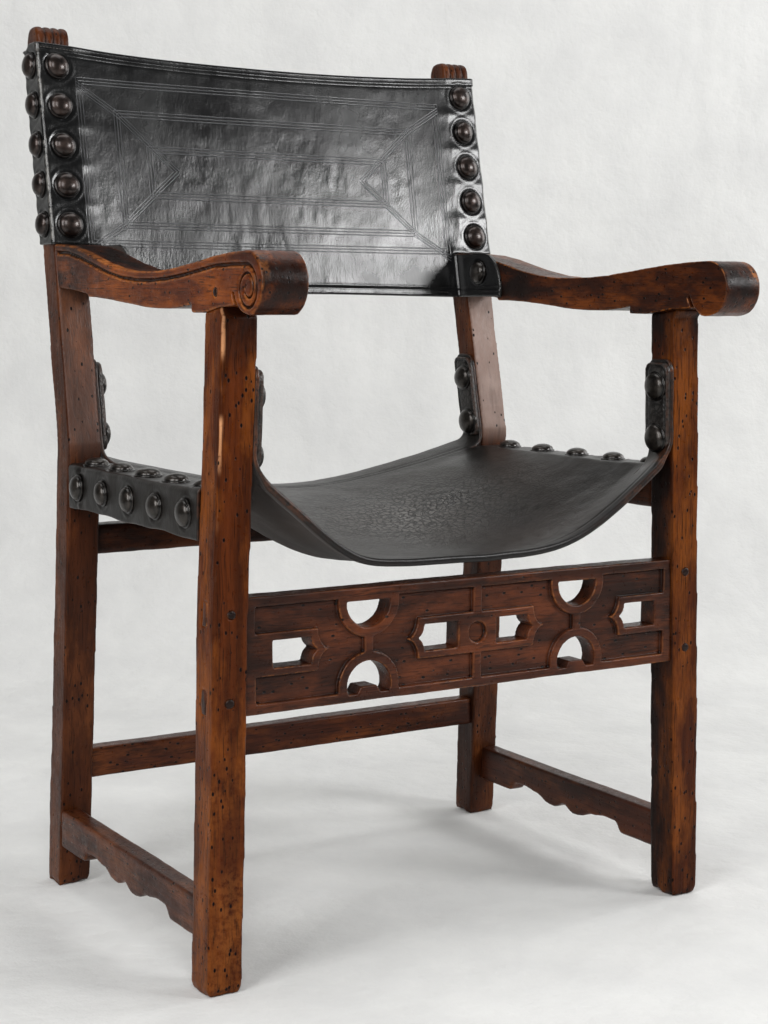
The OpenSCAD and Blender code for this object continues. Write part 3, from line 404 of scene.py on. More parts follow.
# Blind lines tooled on the back: three nested frames, each a half width, a half height and its middle's
# height. Their middle lies at TOOLED_X, and their mitres run on to a point TOOLED_TIP away from it
TOOLED_FRAMES = (
    (248.5 * MM, 93.5 * MM, 849.5 * MM),
    (202.5 * MM, 65 * MM, 843 * MM),
    (163 * MM, 27 * MM, 841 * MM),
)
TOOLED_X, TOOLED_TIP = -11 * MM, 129 * MM
LINE_PITCH, LINE_HALF = 3.6 * MM, 0.7 * MM


def tooled_lines(tree, place):
    """Depth, 0 to 1, of the triple lines on the back: nested frames, and mitres that run on to a point."""
    split = put(tree, "SeparateXYZ", {0: place})
    x = put(tree, "Math", {0: split.outputs["X"], 1: TOOLED_X}, operation="SUBTRACT")
    x = put(tree, "Math", {0: x}, operation="ABSOLUTE")
    runs = []
    above = {}
    for half_w, half_h, middle in TOOLED_FRAMES:
        z = put(tree, "Math", {0: split.outputs["Z"], 1: middle}, operation="SUBTRACT")
        z = put(tree, "Math", {0: z}, operation="ABSOLUTE")
        above[middle] = z
        across = put(tree, "Math", {0: x, 1: half_w}, operation="SUBTRACT")
        upright = put(tree, "Math", {0: z, 1: half_h}, operation="SUBTRACT")
        runs.append((put(tree, "Math", {0: across, 1: upright}, operation="MAXIMUM"), LINE_PITCH, 1.0))
    (w0, h0, _), (w1, h1, middle), _ = TOOLED_FRAMES
    for (xa, za), (xb, zb) in (((w0, h0), (w1, h1)), ((w1, h1), (TOOLED_TIP, 0.0))):
        long = math.hypot(xa - xb, za - zb)
        nx, nz = (za - zb) / long, -(xa - xb) / long
        off = put(tree, "Math", {0: x, 1: nx, 2: -nx * xa - nz * za}, operation="MULTIPLY_ADD")
        off = put(tree, "Math", {0: above[middle], 1: nz, 2: off}, operation="MULTIPLY_ADD")
        inner = put(tree, "Math", {0: x, 1: xb - 3 * MM}, operation="GREATER_THAN")
        outer = put(tree, "Math", {0: x, 1: xa + 3 * MM}, operation="LESS_THAN")
        runs.append((off, LINE_PITCH * 0.85, put(tree, "Math", {0: inner, 1: outer}, operation="MULTIPLY")))
    total = None
    for off, pitch, where in runs:
        near = put(tree, "Math", {0: off, 1: pitch / 2}, operation="PINGPONG")
        line = put(tree, "MapRange", {0: near, 1: LINE_HALF, 2: LINE_HALF * 0.35})
        far = put(tree, "Math", {0: off}, operation="ABSOLUTE")
        band = put(tree, "Math", {0: far, 1: pitch * 1.4}, operation="LESS_THAN")
        line = put(tree, "Math", {0: line, 1: band}, operation="MULTIPLY")
        line = put(tree, "Math", {0: line, 1: where}, operation="MULTIPLY")
        total = line if total is None else put(tree, "Math", {0: total, 1: line}, operation="MAXIMUM")
    press = put(tree, "TexNoise", {"Vector": place, "Scale": per_mm(60), "Detail": 3.0})
    press = put(tree, "MapRange", {0: press, 1: 0.3, 2: 0.62, 3: 0.35})
    return put(tree, "Math", {0: total, 1: press}, operation="MULTIPLY")


def black_hide(name, low, high, worn, gloss, tooled=False):
    """Bridle hide, dyed black and polished by wear: near black with a grey sheen that comes and goes, a fine
    pebbled grain, creases and scuffs, and worn where the dye is rubbed off its edges. Some of its pale colour
    is
    painted highlight: on the back's corners, along the tooled lines, and as glints on the crowns of the
    seat's creases. Its dark grime is partly painted shade."""
    finish, tree, shader, place = new_finish(name, IOR=1.5, Specular_IOR_Level=0.5 if tooled else 0.32)
    rubbed = put(tree, "Attribute", attribute_name="rubbed").outputs["Fac"]
    grime_and_shade = put(tree, "Attribute", attribute_name="grime_and_shade").outputs["Fac"]
    cloud = put(tree, "TexNoise", {"Vector": place, "Scale": per_mm(75), "Detail": 5.0, "Roughness": 0.6})
    fine = put(tree, "TexNoise", {"Vector": place, "Scale": per_mm(6), "Detail": 5.0, "Roughness": 0.65})
    drawn = put(tree, "Mapping", {"Vector": place, "Scale": (1.0, 1.0, 0.3)})
    wrinkle = put(tree, "TexNoise", {"Vector": drawn, "Scale": per_mm(14), "Detail": 4.0, "Roughness": 0.6})
    # Fine upright draw marks, which break the sheen into flecks
    drawn = put(tree, "Mapping", {"Vector": place, "Scale": (1.0, 1.0, 0.35)})
    draw = put(tree, "TexNoise", {"Vector": drawn, "Scale": per_mm(3), "Detail": 3.0, "Roughness": 0.65})
    pebble = put(tree, "TexVoronoi", {"Vector": place, "Scale": per_mm(2.2)}, feature="SMOOTH_F1")

    uneven = put(tree, "MapRange", {0: fine, 1: 0.38, 2: 0.56})
    layers = [
        (put(tree, "MapRange", {0: cloud, 1: 0.35, 2: 0.7}), high),
        (put(tree, "MapRange", {0: fine, 1: 0.58, 2: 0.75, 4: 0.2}), "#2a2826"),
        (put(tree, "Math", {0: rubbed, 1: uneven}, operation="MULTIPLY"), worn),
        (grime_and_shade, "#060606"),
    ]
    height = put(tree, "Math", {0: pebble, 1: 0.25}, operation="MULTIPLY")
    for pattern, rise in ((wrinkle, 1.6), (draw, 0.8), (fine, 0.4)):
        height = put(tree, "Math", {0: pattern, 1: rise, 2: height}, operation="MULTIPLY_ADD")
    rough = put(tree, "MapRange", {0: cloud, 1: 0.33, 2: 0.68, 3: gloss, 4: gloss + 0.12})

    if tooled:
        lines = tooled_lines(tree, place)
        # The lines are laid on in pale grey, a painted highlight where their edges catch the light
        layers.append((put(tree, "Math", {0: lines, 1: 0.7}, operation="MULTIPLY"), "#4d4e50"))
        height = put(tree, "Math", {0: lines, 1: -1.7, 2: height}, operation="MULTIPLY_ADD")
    else:
        # Creases of sitting: a net of fine cracks where the hide has worked most, and crowns between them
        # that are polished, painted a dull grey as glints, a painted highlight
        creases_and_glint = put(tree, "Attribute", attribute_name="creases_and_glint").outputs["Fac"]
        jitter = put(tree, "VectorMath", {0: fine.outputs["Color"], "Scale": 5 * MM}, operation="SCALE")
        net_at = put(tree, "VectorMath", {0: place, 1: jitter}, operation="ADD")
        net = put(tree, "TexVoronoi", {"Vector": net_at, "Scale": per_mm(7)}, feature="DISTANCE_TO_EDGE")
        crack = put(tree, "MapRange", {0: net, 2: 0.17})
        crack = put(tree, "Math", {0: crack, 1: creases_and_glint}, operation="MULTIPLY")
        height = put(tree, "Math", {0: crack, 1: 3.6, 2: height}, operation="MULTIPLY_ADD")
        crown_glint = put(tree, "MapRange", {0: net, 1: 0.04, 2: 0.24, 4: 0.6})
        crown_glint = put(tree, "Math", {0: crown_glint, 1: creases_and_glint}, operation="MULTIPLY")
        layers.append((crown_glint, "#75716d"))
        rough = put(tree, "Math", {0: creases_and_glint, 1: -0.08, 2: rough}, operation="MULTIPLY_ADD")
    bring_to(shader, tree, coats(tree, low, layers), rough, height, 0.22 if tooled else 0.35)
    return finish


def flesh_side(name):
    """The hide's unfinished inner side: dark brown suede, matt and fibrous."""
    finish, tree, shader, place = new_finish(name, Roughness=0.88, IOR=1.45, Sheen_Weight=0.08)
    nap = put(tree, "TexNoise", {"Vector": place, "Scale": per_mm(2.5), "Detail": 6.0, "Roughness": 0.75})
    stain = put(tree, "TexNoise", {"Vector": place, "Scale": per_mm(80), "Detail": 4.0})
    stain = put(tree, "MapRange", {0: stain, 1: 0.4, 2: 0.7, 4: 0.6})
    bring_to(shader, tree, coats(tree, "#1d1613", [(nap, "#3a2d25"), (stain, "#17110e")]), None, nap, 0.5)
    return finish


def forged_bronze(name, low, high):
    """Forged nail heads in patinated bronze: smooth from polish, and black in the hollows."""
    finish, tree, shader, place = new_finish(name, Metallic=0.8, Coat_Weight=0.4, Coat_Roughness=0.18)
    stain = put(tree, "TexNoise", {"Vector": place, "Scale": per_mm(9), "Detail": 5.0, "Roughness": 0.65})
    dent = put(tree, "TexNoise", {"Vector": place, "Scale": per_mm(5), "Detail": 3.0})
    patina = put(tree, "MapRange", {0: stain, 1: 0.35, 2: 0.68})
    grime_and_shade = put(tree, "Attribute", attribute_name="grime_and_shade").outputs["Fac"]
    base = coats(tree, low, [(patina, high), (grime_and_shade, "#080605")])
    rough = put(tree, "MapRange", {0: stain, 1: 0.3, 2: 0.7, 3: 0.26, 4: 0.44})
    bring_to(shader, tree, base, rough, dent, 0.2, 0.5 * MM)
    return finish


def waxed_thread(name):
    """Waxed linen thread, twisted, and worn pale grey where it stands proud of the hide."""
    finish, tree, shader, place = new_finish(name, Roughness=0.55)
    twist = put(tree, "TexNoise", {"Vector": place, "Scale": per_mm(1), "Detail": 2.0})
    tree.links.new(coats(tree, "#1b1a19", [(twist, "#66605a")]), shader.inputs["Base Color"])
    return finish


leg_walnut = waxed_walnut("waxed walnut, front legs", UPRIGHT, "#371605", "#5a290d", "#7c4215", shine=0.09)
post_walnut = waxed_walnut("waxed walnut, rear posts", UPRIGHT, "#3a1a08", "#552b15", "#6d3c1d", shine=0.13)
arm_walnut = waxed_walnut("waxed walnut, arms", DEEP, "#3a1605", "#602a0b", "#8a4614", shine=0.18)
carved_walnut = waxed_walnut(
    "waxed walnut, carved stretcher", ACROSS, "#281208", "#4d2616", "#6b371d", shine=0.2)
rail_walnut = waxed_walnut("waxed walnut, rear rail and stretcher", ACROSS, "#2b1208", "#4c2413", "#703b19")
side_walnut = waxed_walnut("waxed walnut, side rails and stretchers", DEEP, "#2e150a", "#50291a", "#6f3e1f")
peg_walnut = waxed_walnut("waxed walnut pegs, end grain", ACROSS, "#120a08", "#241410", "#2a1812")
seat_hide = black_hide("black bridle hide, seat", "#0c0a09", "#1a1613", "#7e4a2e", 0.3)
back_hide = black_hide("black bridle hide, tooled back", "#050506", "#0c0d0d", "#8f8c87", 0.17, tooled=True)
suede = flesh_side("flesh side of the hide")
brown_bronze = forged_bronze("patinated bronze, back nails", "#1c1614", "#3d312c")
black_bronze = forged_bronze("blackened bronze, seat nails", "#1d1a17", "#3d3732")
thread = waxed_thread("waxed linen thread")


# Wood

# Node, voxel in millimetres, passes that round its arrises, finish
WOOD = (
    ("front_leg_left", 1.8, 3, leg_walnut),
    ("front_leg_right", 1.8, 3, leg_walnut),
    ("rear_post_left", 1.7, 3, post_walnut),
    ("rear_post_right", 1.7, 3, post_walnut),
    ("arm_left", 1.1, 1, arm_walnut),
    ("arm_right", 1.1, 1, arm_walnut),
    ("front_stretcher", 1.1, 1, carved_walnut),
    ("rear_stretcher", 2.0, 3, rail_walnut),
    ("rear_seat_rail", 2.0, 3, rail_walnut),
    ("side_stretcher_left", 1.8, 3, side_walnut),
    ("side_stretcher_right", 1.8, 3, side_walnut),
    ("seat_rail_left", 2.4, 2, side_walnut),
    ("seat_rail_right", 2.4, 2, side_walnut),
    ("front_stretcher_pegs", 0.9, 3, peg_walnut),
    ("arm_pegs", 0.9, 3, peg_walnut),
)


def voxel_copy(node, voxel):
    """A node's solid as an even mesh of small squares."""
    raw = bpy.data.objects.new("raw", NODES[node].data.copy())
    bpy.context.scene.collection.objects.link(raw)
    remesh = raw.modifiers.new("voxels", "REMESH")
    remesh.mode = "VOXEL"
    remesh.voxel_size = voxel
    ready = raw.evaluated_get(bpy.context.evaluated_depsgraph_get())
    mesh = bpy.data.meshes.new_from_object(ready)
    bpy.data.objects.remove(raw)
    mesh.materials.clear()
    return mesh


def smoke_and_shade_on(node, co, out):
    """How far hands, smoke and old wax have blackened the wood, with painted shade added: under the arms, at
    the joints, on inner, lower and front faces and inside the frame."""
    x, z = co[:, 0], co[:, 2]
    depth = co[:, 1] - LEG_FRONT
    inner = ease(0.5, 0.9, -out[:, 0] * np.sign(x))
    if node.startswith("front_leg"):
        right = 0.25 if "right" in node else 0.0
        under_arm = ease(0.6, 0.67, z) * (out[:, 0] * np.sign(x) < 0.5)
        return 0.75 * under_arm + 0.75 * inner * ease(0.66, 0.5, z) + right
    if node.startswith("rear_post"):
        near_seat = bell(0.49, 0.05, z)
        return 0.35 + 0.4 * near_seat + 0.3 * inner * ease(0.6, 0.4, z)
    if node in ("arm_left", "arm_right"):
        front = ease(0.1, 0.95, -out[:, 1]) * ease(-10 * MM, -60 * MM, depth)
        rear = ease(0.22, 0.38, depth)
        right = 0.45 if node == "arm_right" else 0.85 * (x > -293 * MM) * ease(0.12, 0.2, depth)
        return 0.95 * front + 0.8 * rear + 0.5 * ease(0.6, 0.95, -out[:, 2]) + 0.35 * inner + right
    if node == "front_stretcher":
        return 0.3 + 0.4 * ease(0.13, 0.25, np.abs(x))
    return np.full(len(co), 0.85 if node == "rear_seat_rail" else 0.25)


def between_lobes(co):
    """Where the gouge went deeper between the lobes of a post's carved head, 0 to 1."""
    lobe = POST_W / HEAD_LOBES
    across = (np.abs(co[:, 0]) - post_in(HEAD_Z)) / lobe
    cut = bell(0, 1.1 * MM, np.abs(across - np.round(across)) * lobe)
    return cut * (across > 0.5) * (across < HEAD_LOBES - 0.5) * ease(974 * MM, 978 * MM, co[:, 2])


def long_scrape(sharp, z):
    """A pale scrape down the outer front arris of the left front leg, 0 to 1."""
    off = np.hypot(sharp[:, 0] + LEG_W + leg_in(z), sharp[:, 1] - LEG_FRONT)
    broken = ease(-0.3, 0.3, noise(sharp * [0, 0, 1], 0.03, 91))
    return ease(2.6 * MM, 1.0 * MM, off) * broken * bell(0.6, 0.085, z)


def post_dust_and_sheen(node, sharp, out, seed):
    """Dust and dry wood with a painted grey sheen on a post's front above the seat, 0 to 1, most of it on the
    right post.
    """
    above_seat = ease(0.5, 0.54, sharp[:, 2]) * ease(0.78, 0.7, sharp[:, 2]) * ease(0.5, 0.9, -out[:, 1])
    return above_seat * (0.85 + 0.15 * noise(sharp, 0.02, seed)) * (0.85 if "right" in node else 0.15)


def worn_wood(node, voxel, rounds, finish, seed):
    """The CAD's solid with its arrises rubbed round by use, here more and there less, nibbled by worm and
    knocks, and its faces as uneven as a hand plane leaves them."""
    mesh = voxel_copy(node, voxel * MM)
    edges = edges_of(mesh)
    sharp = smoothed(points_of(mesh), edges, 1)
    move_points(mesh, sharp)
    out = normals_of(mesh)
    soft = smoothed(sharp, edges, rounds)
    broad = smoothed(soft, edges, 8)
    proud = np.einsum("ij,ij->i", sharp - broad, out) / (voxel * MM)
    arm = node in ("arm_left", "arm_right")
    carved = arm or node == "front_stretcher"
    arris = ease(0.45, 0.95, proud)
    corner = ease(0.12, 0.45, -proud) if carved else ease(0.2, 0.75, -proud)
    use = ease(-0.5, 0.6, noise(sharp, 0.05, seed) + 0.5 * noise(sharp, 0.014, seed + 1))
    use = np.maximum(use, ease(0.03, 0.0, sharp[:, 2]))
    co = sharp + (soft - sharp) * (0.3 + 0.7 * use)[:, None]
    plane = 0.5 * noise(sharp, 0.07, seed + 2) + 0.25 * noise(sharp, 0.016, seed + 3) + 0.5
    big = ease(0.5, 0.8, noise(sharp, 0.011, seed + 4))
    small = ease(0.35, 0.7, noise(sharp, 0.0045, seed + 5)) * ease(-0.1, 0.5, noise(sharp, 0.04, seed + 6))
    bitten = arris * (2.4 * big + 1.4 * small) * (0.5 if carved else 1.0)
    if carved:
        # The gouge went deeper along the foot of each moulding
        bitten += 0.9 * corner
    # The feet are knocked round
    bitten += (2.2 + 2.0 * noise(sharp, 0.009, seed + 7)) * ease(13 * MM, 0, sharp[:, 2]) ** 2
    co += out * ((plane - bitten) * MM)[:, None]
    if node.startswith("rear_post"):
        cut = between_lobes(co)
        co -= out * (1.7 * MM * cut)[:, None]
        # The grooves between the lobes are painted dark too, as painted shade
        corner = np.maximum(corner, cut)
    co[:, 2] = np.maximum(co[:, 2], 0.0)
    move_points(mesh, co)
    edge = ease(0.22, 0.6, proud) if carved else ease(0.5, 1.1, proud)
    if arm:
        # Hands have polished the bead along the top of the outer face, and its upward faces are painted
        # lighter there, a painted highlight
        bead = ease(0.0, 0.5, out[:, 2]) * ease(292 * MM, 295 * MM, np.abs(sharp[:, 0]))
        edge = np.maximum(edge, 0.9 * bead)
    if node == "front_leg_left":
        # Shoes and mops have taken the wax off the lower part
        edge = np.maximum(edge, 0.2 * ease(0.45, 0.2, sharp[:, 2]))
    least = 0.05 if node == "front_stretcher" else 0.25
    edge = edge * (0.6 if node == "front_stretcher" else 1.0)
    # Arrises are painted lighter and more orange: wear, and a painted highlight
    keep_field(mesh, "rubbed", edge * (least + (1 - least) * use) * (1 - 0.5 * ease(0, 1, bitten)))
    # Corners and grooves are painted dark: old wax and dust, and painted shade
    keep_field(mesh, "grime_and_shade", 0.9 * corner)
    keep_field(mesh, "smoke_and_shade", smoke_and_shade_on(node, sharp, out))
    scraped, dust_and_sheen = np.zeros(len(co)), np.zeros(len(co))
    if node == "front_leg_left":
        scraped = long_scrape(sharp, co[:, 2])
    if node.startswith("rear_post"):
        dust_and_sheen = post_dust_and_sheen(node, sharp, out, seed + 8)
    keep_field(mesh, "scraped", scraped)
    keep_field(mesh, "dust_and_sheen", dust_and_sheen)
    return add_piece(node + "_worn", mesh, [finish], "pegs" if "pegs" in node else "walnut", node)


for number, (node, voxel, rounds, finish) in enumerate(WOOD):
    worn_wood(node, voxel, rounds, finish, 11 * number + 3)


# Nails


def loose_parts(mesh):
    """The points of each loose part of a mesh."""
    co, edges = points_of(mesh), edges_of(mesh)
    group = np.arange(len(co))
    while True:
        low = np.minimum(group[edges[:, 0]], group[edges[:, 1]])
        new = group.copy()
        np.minimum.at(new, edges[:, 0], low)
        np.minimum.at(new, edges[:, 1], low)
        new = new[new]
        if (new == group).all():
            return [co[group == label] for label in np.unique(group)]
        group = new


def nail_places(node):
    """Where each nail of a group sits: the foot of its head, and the way its head points."""
    mesh = NODES[node].data.copy()
    weld(mesh)
    places = []
    for part in loose_parts(mesh):
        middle = part.mean(0)
        _, size, ways = np.linalg.svd(part - middle, full_matrices=False)
        way = ways[2] if size[0] - size[1] < size[1] - size[2] else ways[0]
        along = (part - middle) @ way
        wide = np.linalg.norm(part - middle - np.outer(along, way), axis=1)
        half = (along.min() + along.max()) / 2
        if wide[along < half].max() > wide[along > half].max():
            way = -way
        top = (part @ way).max()
        head = part[(part @ way) > top - NAIL_H]
        on_axis = (head.min(0) + head.max(0)) / 2
        on_axis -= way * (on_axis @ way)
        places.append((on_axis + way * (top - NAIL_H), way))
    return places


# Half of a head's section: radius and height as shares of the whole, and how much dirt lies there
HEAD_SECTION = [
    (1.0, -0.25, 1.0), (1.015, 0.03, 0.6), (1.0, 0.1, 0.3), (0.955, 0.13, 0.8), (0.915, 0.15, 1.0)]
HEAD_SECTION += [(0.9 * math.cos(a), 0.17 + 0.83 * math.sin(a) ** 0.95, soil)
                 for a, soil in zip(np.linspace(0.08, 1.5, 11), (0.7, 0.2) + (0.0,) * 9)]


def nail_heads(name, node, finish, radius, seed):
    """Forged domes on a thin lip, each a little out of round and set a little askew."""
    sides = 30
    rng = np.random.default_rng(seed)
    points, faces, darkened = [], [], []
    turn = np.linspace(0, 2 * np.pi, sides, endpoint=False)
    for foot, way in nails[node]:
        tilt = rng.normal(0, 0.04, 3)
        way = (way + tilt) / np.linalg.norm(way + tilt)
        side = np.cross(way, [0.3, 0.2, 0.93])
        side /= np.linalg.norm(side)
        other = np.cross(way, side)
        lean = rng.uniform(0, 2 * np.pi)
        size = rng.uniform(0.95, 1.02)
        lump = size * (1 + 0.016 * np.cos(2 * (turn - lean)) + 0.01 * np.cos(3 * turn + lean))
        ring = side * np.cos(turn)[:, None] + other * np.sin(turn)[:, None]
        start = len(points)
        for r, h, soil in HEAD_SECTION:
            points.extend(foot + way * h * NAIL_H + ring * (r * radius * lump)[:, None])
            darkened += [soil] * sides
        faces += grid_faces(len(HEAD_SECTION), sides, start, closed=True)
        last = start + (len(HEAD_SECTION) - 1) * sides
        faces.append(tuple(last + t for t in range(sides)))
    mesh = mesh_from(name, points, faces)
    keep_field(mesh, "grime_and_shade", np.array(darkened))
    return add_piece(name, mesh, [finish], "nails", node)


nails = {node: nail_places(node) for node in NODES if "nails" in node}
for number, node in enumerate(sorted(nails)):
    bronze = brown_bronze if node.startswith("back_") else black_bronze
    wide = EAR_NAIL_R if node.startswith("ear_") else NAIL_R
    nail_heads(node.replace("nails", "nail_heads"), node, bronze, wide, 40 + number)


def places_of(*starts):
    """Where the nails sit whose groups have names that start so."""
    return [place for node in nails if node.startswith(starts) for place in nails[node]]


def drawn_in(co, out, places, depth, ridge):
    """How far the hide lies below its own line round its nails: pressed in under each head's lip, with a soft
    ridge thrown up outside it."""
    total = np.zeros(len(co))
    for foot, way in places:
        d = np.linalg.norm(co - foot, axis=1)
        facing = np.clip(out @ way, 0, 1) ** 2
        total += facing * depth * bell(0, 7 * MM, np.maximum(d - NAIL_R, 0))
        total -= facing * ridge * bell(NAIL_R + 3.4 * MM, 2.2 * MM, d)
    return total


# Seat sling

RAIL_MID_Z = (RAIL_Z0 + RAIL_Z1) / 2
RAIL_OUT = FOOT_W / 2 - LEG_SPLAY * RAIL_MID_Z - 2.5 * MM
RAIL_IN = RAIL_OUT - 33 * MM
HIDE_TOP, HIDE_OUT = RAIL_Z1 + HIDE, RAIL_OUT + HIDE
SLING_END_X = RAIL_IN - 5 * MM
SLING_FRONT, SLING_REAR = 0.5 * MM, post_front(RAIL_Z1) + POST_D - 0.5 * MM
FRONT_CLIMB, REAR_CLIMB = 22 * MM, 9 * MM
FLOOR_FRONT, FLOOR_REAR, BELLY = 422 * MM, 465 * MM, 8 * MM
TROUGH_X, TROUGH_W, CURVE_W = 142 * MM, 38 * MM, 120 * MM
FRONT_EAR_Z, REAR_EAR_Z, EAR_R = 627 * MM, 622 * MM, 10 * MM
SPLIT_X, BOWL_COLUMNS = 243 * MM, 108


def sling_side(y):
    """Height of the sling's sides, which climb on to the legs in front and on to the posts behind."""
    return (HIDE_TOP - 0.4 * MM + FRONT_CLIMB * (1 - ease(0, LEG_D + 24 * MM, y))
            + REAR_CLIMB * ease(post_front(RAIL_Z1) - 20 * MM, SLING_REAR, y))


def trough(x):
    """The front's section: a flat floor that turns into a straight side."""
    return (x - TROUGH_X + np.hypot(x - TROUGH_X, TROUGH_W)) / 2


def even_curve(x):
    """The rear's section."""
    return np.hypot(x, CURVE_W) - CURVE_W


def sling_z(x, y, side=1):
    """Height of the sling's upper face: a trough in front that turns into an even curve at the rear. The
    trough is fuller on the left, where the sitters leaned."""
    x = np.abs(x)
    back = ease(LEG_D + 60 * MM, SLING_REAR, y)
    floor = FLOOR_FRONT + (FLOOR_REAR - FLOOR_FRONT) * back
    share = trough(x) / trough(SLING_END_X) * (1 - back) + even_curve(x) / even_curve(SLING_END_X) * back
    sag = BELLY * (1 - (x / SLING_END_X) ** 2) * ease(0, 120 * MM, y) * (1 - ease(150 * MM, SLING_REAR, y))
    fuller = side * 4.5 * MM * bell(155 * MM, 55 * MM, x) * (1 - back)
    return floor + (sling_side(y) - floor) * share - sag + fuller


def bowl_half(y, side):
    """Half of a row of the sling's hanging part, (x, z) from the middle outwards."""
    x = np.linspace(0, SPLIT_X, BOWL_COLUMNS)
    return track(x, sling_z(x, y, side))


def bezier(p0, p1, p2, p3, steps):
    t = np.linspace(0, 1, steps + 1)[1:, None]
    p0, p1, p2, p3 = (np.array(p, float) for p in (p0, p1, p2, p3))
    return (1 - t) ** 3 * p0 + 3 * (1 - t) ** 2 * t * p1 + 3 * (1 - t) * t * t * p2 + t ** 3 * p3


def whole_row(half_of, y):
    """A row across the chair from what gives one half, (x, z) from the middle outwards."""
    left, right = half_of(-1), half_of(1)
    left = left[:0:-1] * [-1, 1]
    full = np.concatenate([left, right])
    return track(full[:, 0], y + LEG_FRONT, full[:, 1])


def ear_row(y, edge_gap, face, top, y_ear, lean):
    """A row across the sling that climbs a leg or a post at both ends. face(z) is where that leg's inner face
    is, and lean is how far the ear goes back with its height."""
    foot_z = sling_side(y) + 15 * MM

    def half_of(side):
        bowl = bowl_half(y, side)
        slope = (bowl[-1, 1] - bowl[-2, 1]) / (bowl[-1, 0] - bowl[-2, 0])
        foot = (face(foot_z) - HIDE, foot_z)
        leaving = bowl[-1] + np.array([1, slope]) * 9 * MM
        turn = bezier(bowl[-1], leaving, (foot[0], foot_z - 14 * MM), foot, 14)
        rise = EAR_R - math.sqrt(max(0.0, EAR_R ** 2 - max(0.0, EAR_R - edge_gap) ** 2))
        z = np.linspace(foot_z, top - rise, 42)[1:]
        return np.concatenate([bowl, turn, track(face(z) - HIDE, z)])

    row = whole_row(half_of, y)
    joins = ease(SPLIT_X, SPLIT_X + 12 * MM, np.abs(row[:, 0]))
    row[:, 1] += joins * (y_ear - y + lean * (row[:, 2] - BEND_Z))
    return row


def wrap_row(y, y_wrap):
    """A row across the sling that goes over both seat rails and down their outer faces."""
    top_z = HIDE_TOP + 2.5 * MM * ease(110 * MM, 45 * MM, y)  # bunched behind the front legs
    r = HIDE + 1.5 * MM
    low = RAIL_Z0 - 1.0 * MM - 0.8 * MM * math.sin(y / (27 * MM)) - 0.5 * MM * math.sin(y / (11 * MM))

    def half_of(side):
        x = np.linspace(SPLIT_X, SLING_END_X, 12)[1:]
        lip = track(x, sling_z(x, y))
        lip[:, 1] += (top_z - lip[-1, 1]) * ((x - SPLIT_X) / (SLING_END_X - SPLIT_X)) ** 2
        top = track(np.linspace(SLING_END_X, HIDE_OUT - r, 16)[1:], top_z)
        along, off = quarter_turn(6)
        bend = track(HIDE_OUT - r + r * along, top_z - r * off)
        face = track(HIDE_OUT, np.linspace(top_z - r, low, 24)[1:])
        return np.concatenate([bowl_half(y, side), lip, top, bend, face])

    row = whole_row(half_of, y)
    row[:, 1] += (y_wrap - y) * ease(SPLIT_X, SPLIT_X + 6 * MM, np.abs(row[:, 0]))
    return row


def facing(mesh, at, way):
    """Turns the sheet so that its grain side faces the given way at the point nearest to at."""
    co, out = points_of(mesh), normals_of(mesh)
    nearest = np.argmin(np.linalg.norm(co - at, axis=1))
    if out[nearest] @ way < 0:
        mesh.flip_normals()


def sling_sheet():
    """The sling's grain side, smooth: ears in front and behind, and wraps over the rails between them."""
    rear_slit = post_front(RAIL_Z1) - 0.2 * MM
    front_y = np.linspace(SLING_FRONT, LEG_D + 0.4 * MM, 19)
    middle_y = np.linspace(LEG_D + 0.4 * MM, rear_slit, 140)
    rear_y = np.linspace(rear_slit, SLING_REAR, 17)
    gap = 1.4 * MM
    front, rear = [], []
    for y in front_y:
        across = (y - front_y[0]) / (front_y[-1] - front_y[0])
        y_ear = SLING_FRONT + across * (LEG_D - 1 * MM - gap)
        front.append(ear_row(y, min(y_ear - SLING_FRONT, LEG_D - gap - y_ear), leg_in, FRONT_EAR_Z, y_ear, 0))
    low, high = post_front(BEND_Z) + 1 * MM + gap, post_front(BEND_Z) + POST_D
    for y in rear_y:
        y_ear = low + (y - rear_y[0]) / (rear_y[-1] - rear_y[0]) * (high - low)
        rear.append(ear_row(y, min(y_ear - low, high - y_ear), post_in, REAR_EAR_Z, y_ear, POST_RAKE))
    middle = [wrap_row(y, np.clip(y, middle_y[0] + gap, middle_y[-1] - gap)) for y in middle_y]
    sheet = welded_grids("seat_sling", [np.array(g) for g in (front, middle, rear)])
    facing(sheet, (0, LEG_FRONT, FLOOR_FRONT), np.array([0, 0, 1]))
    return sheet


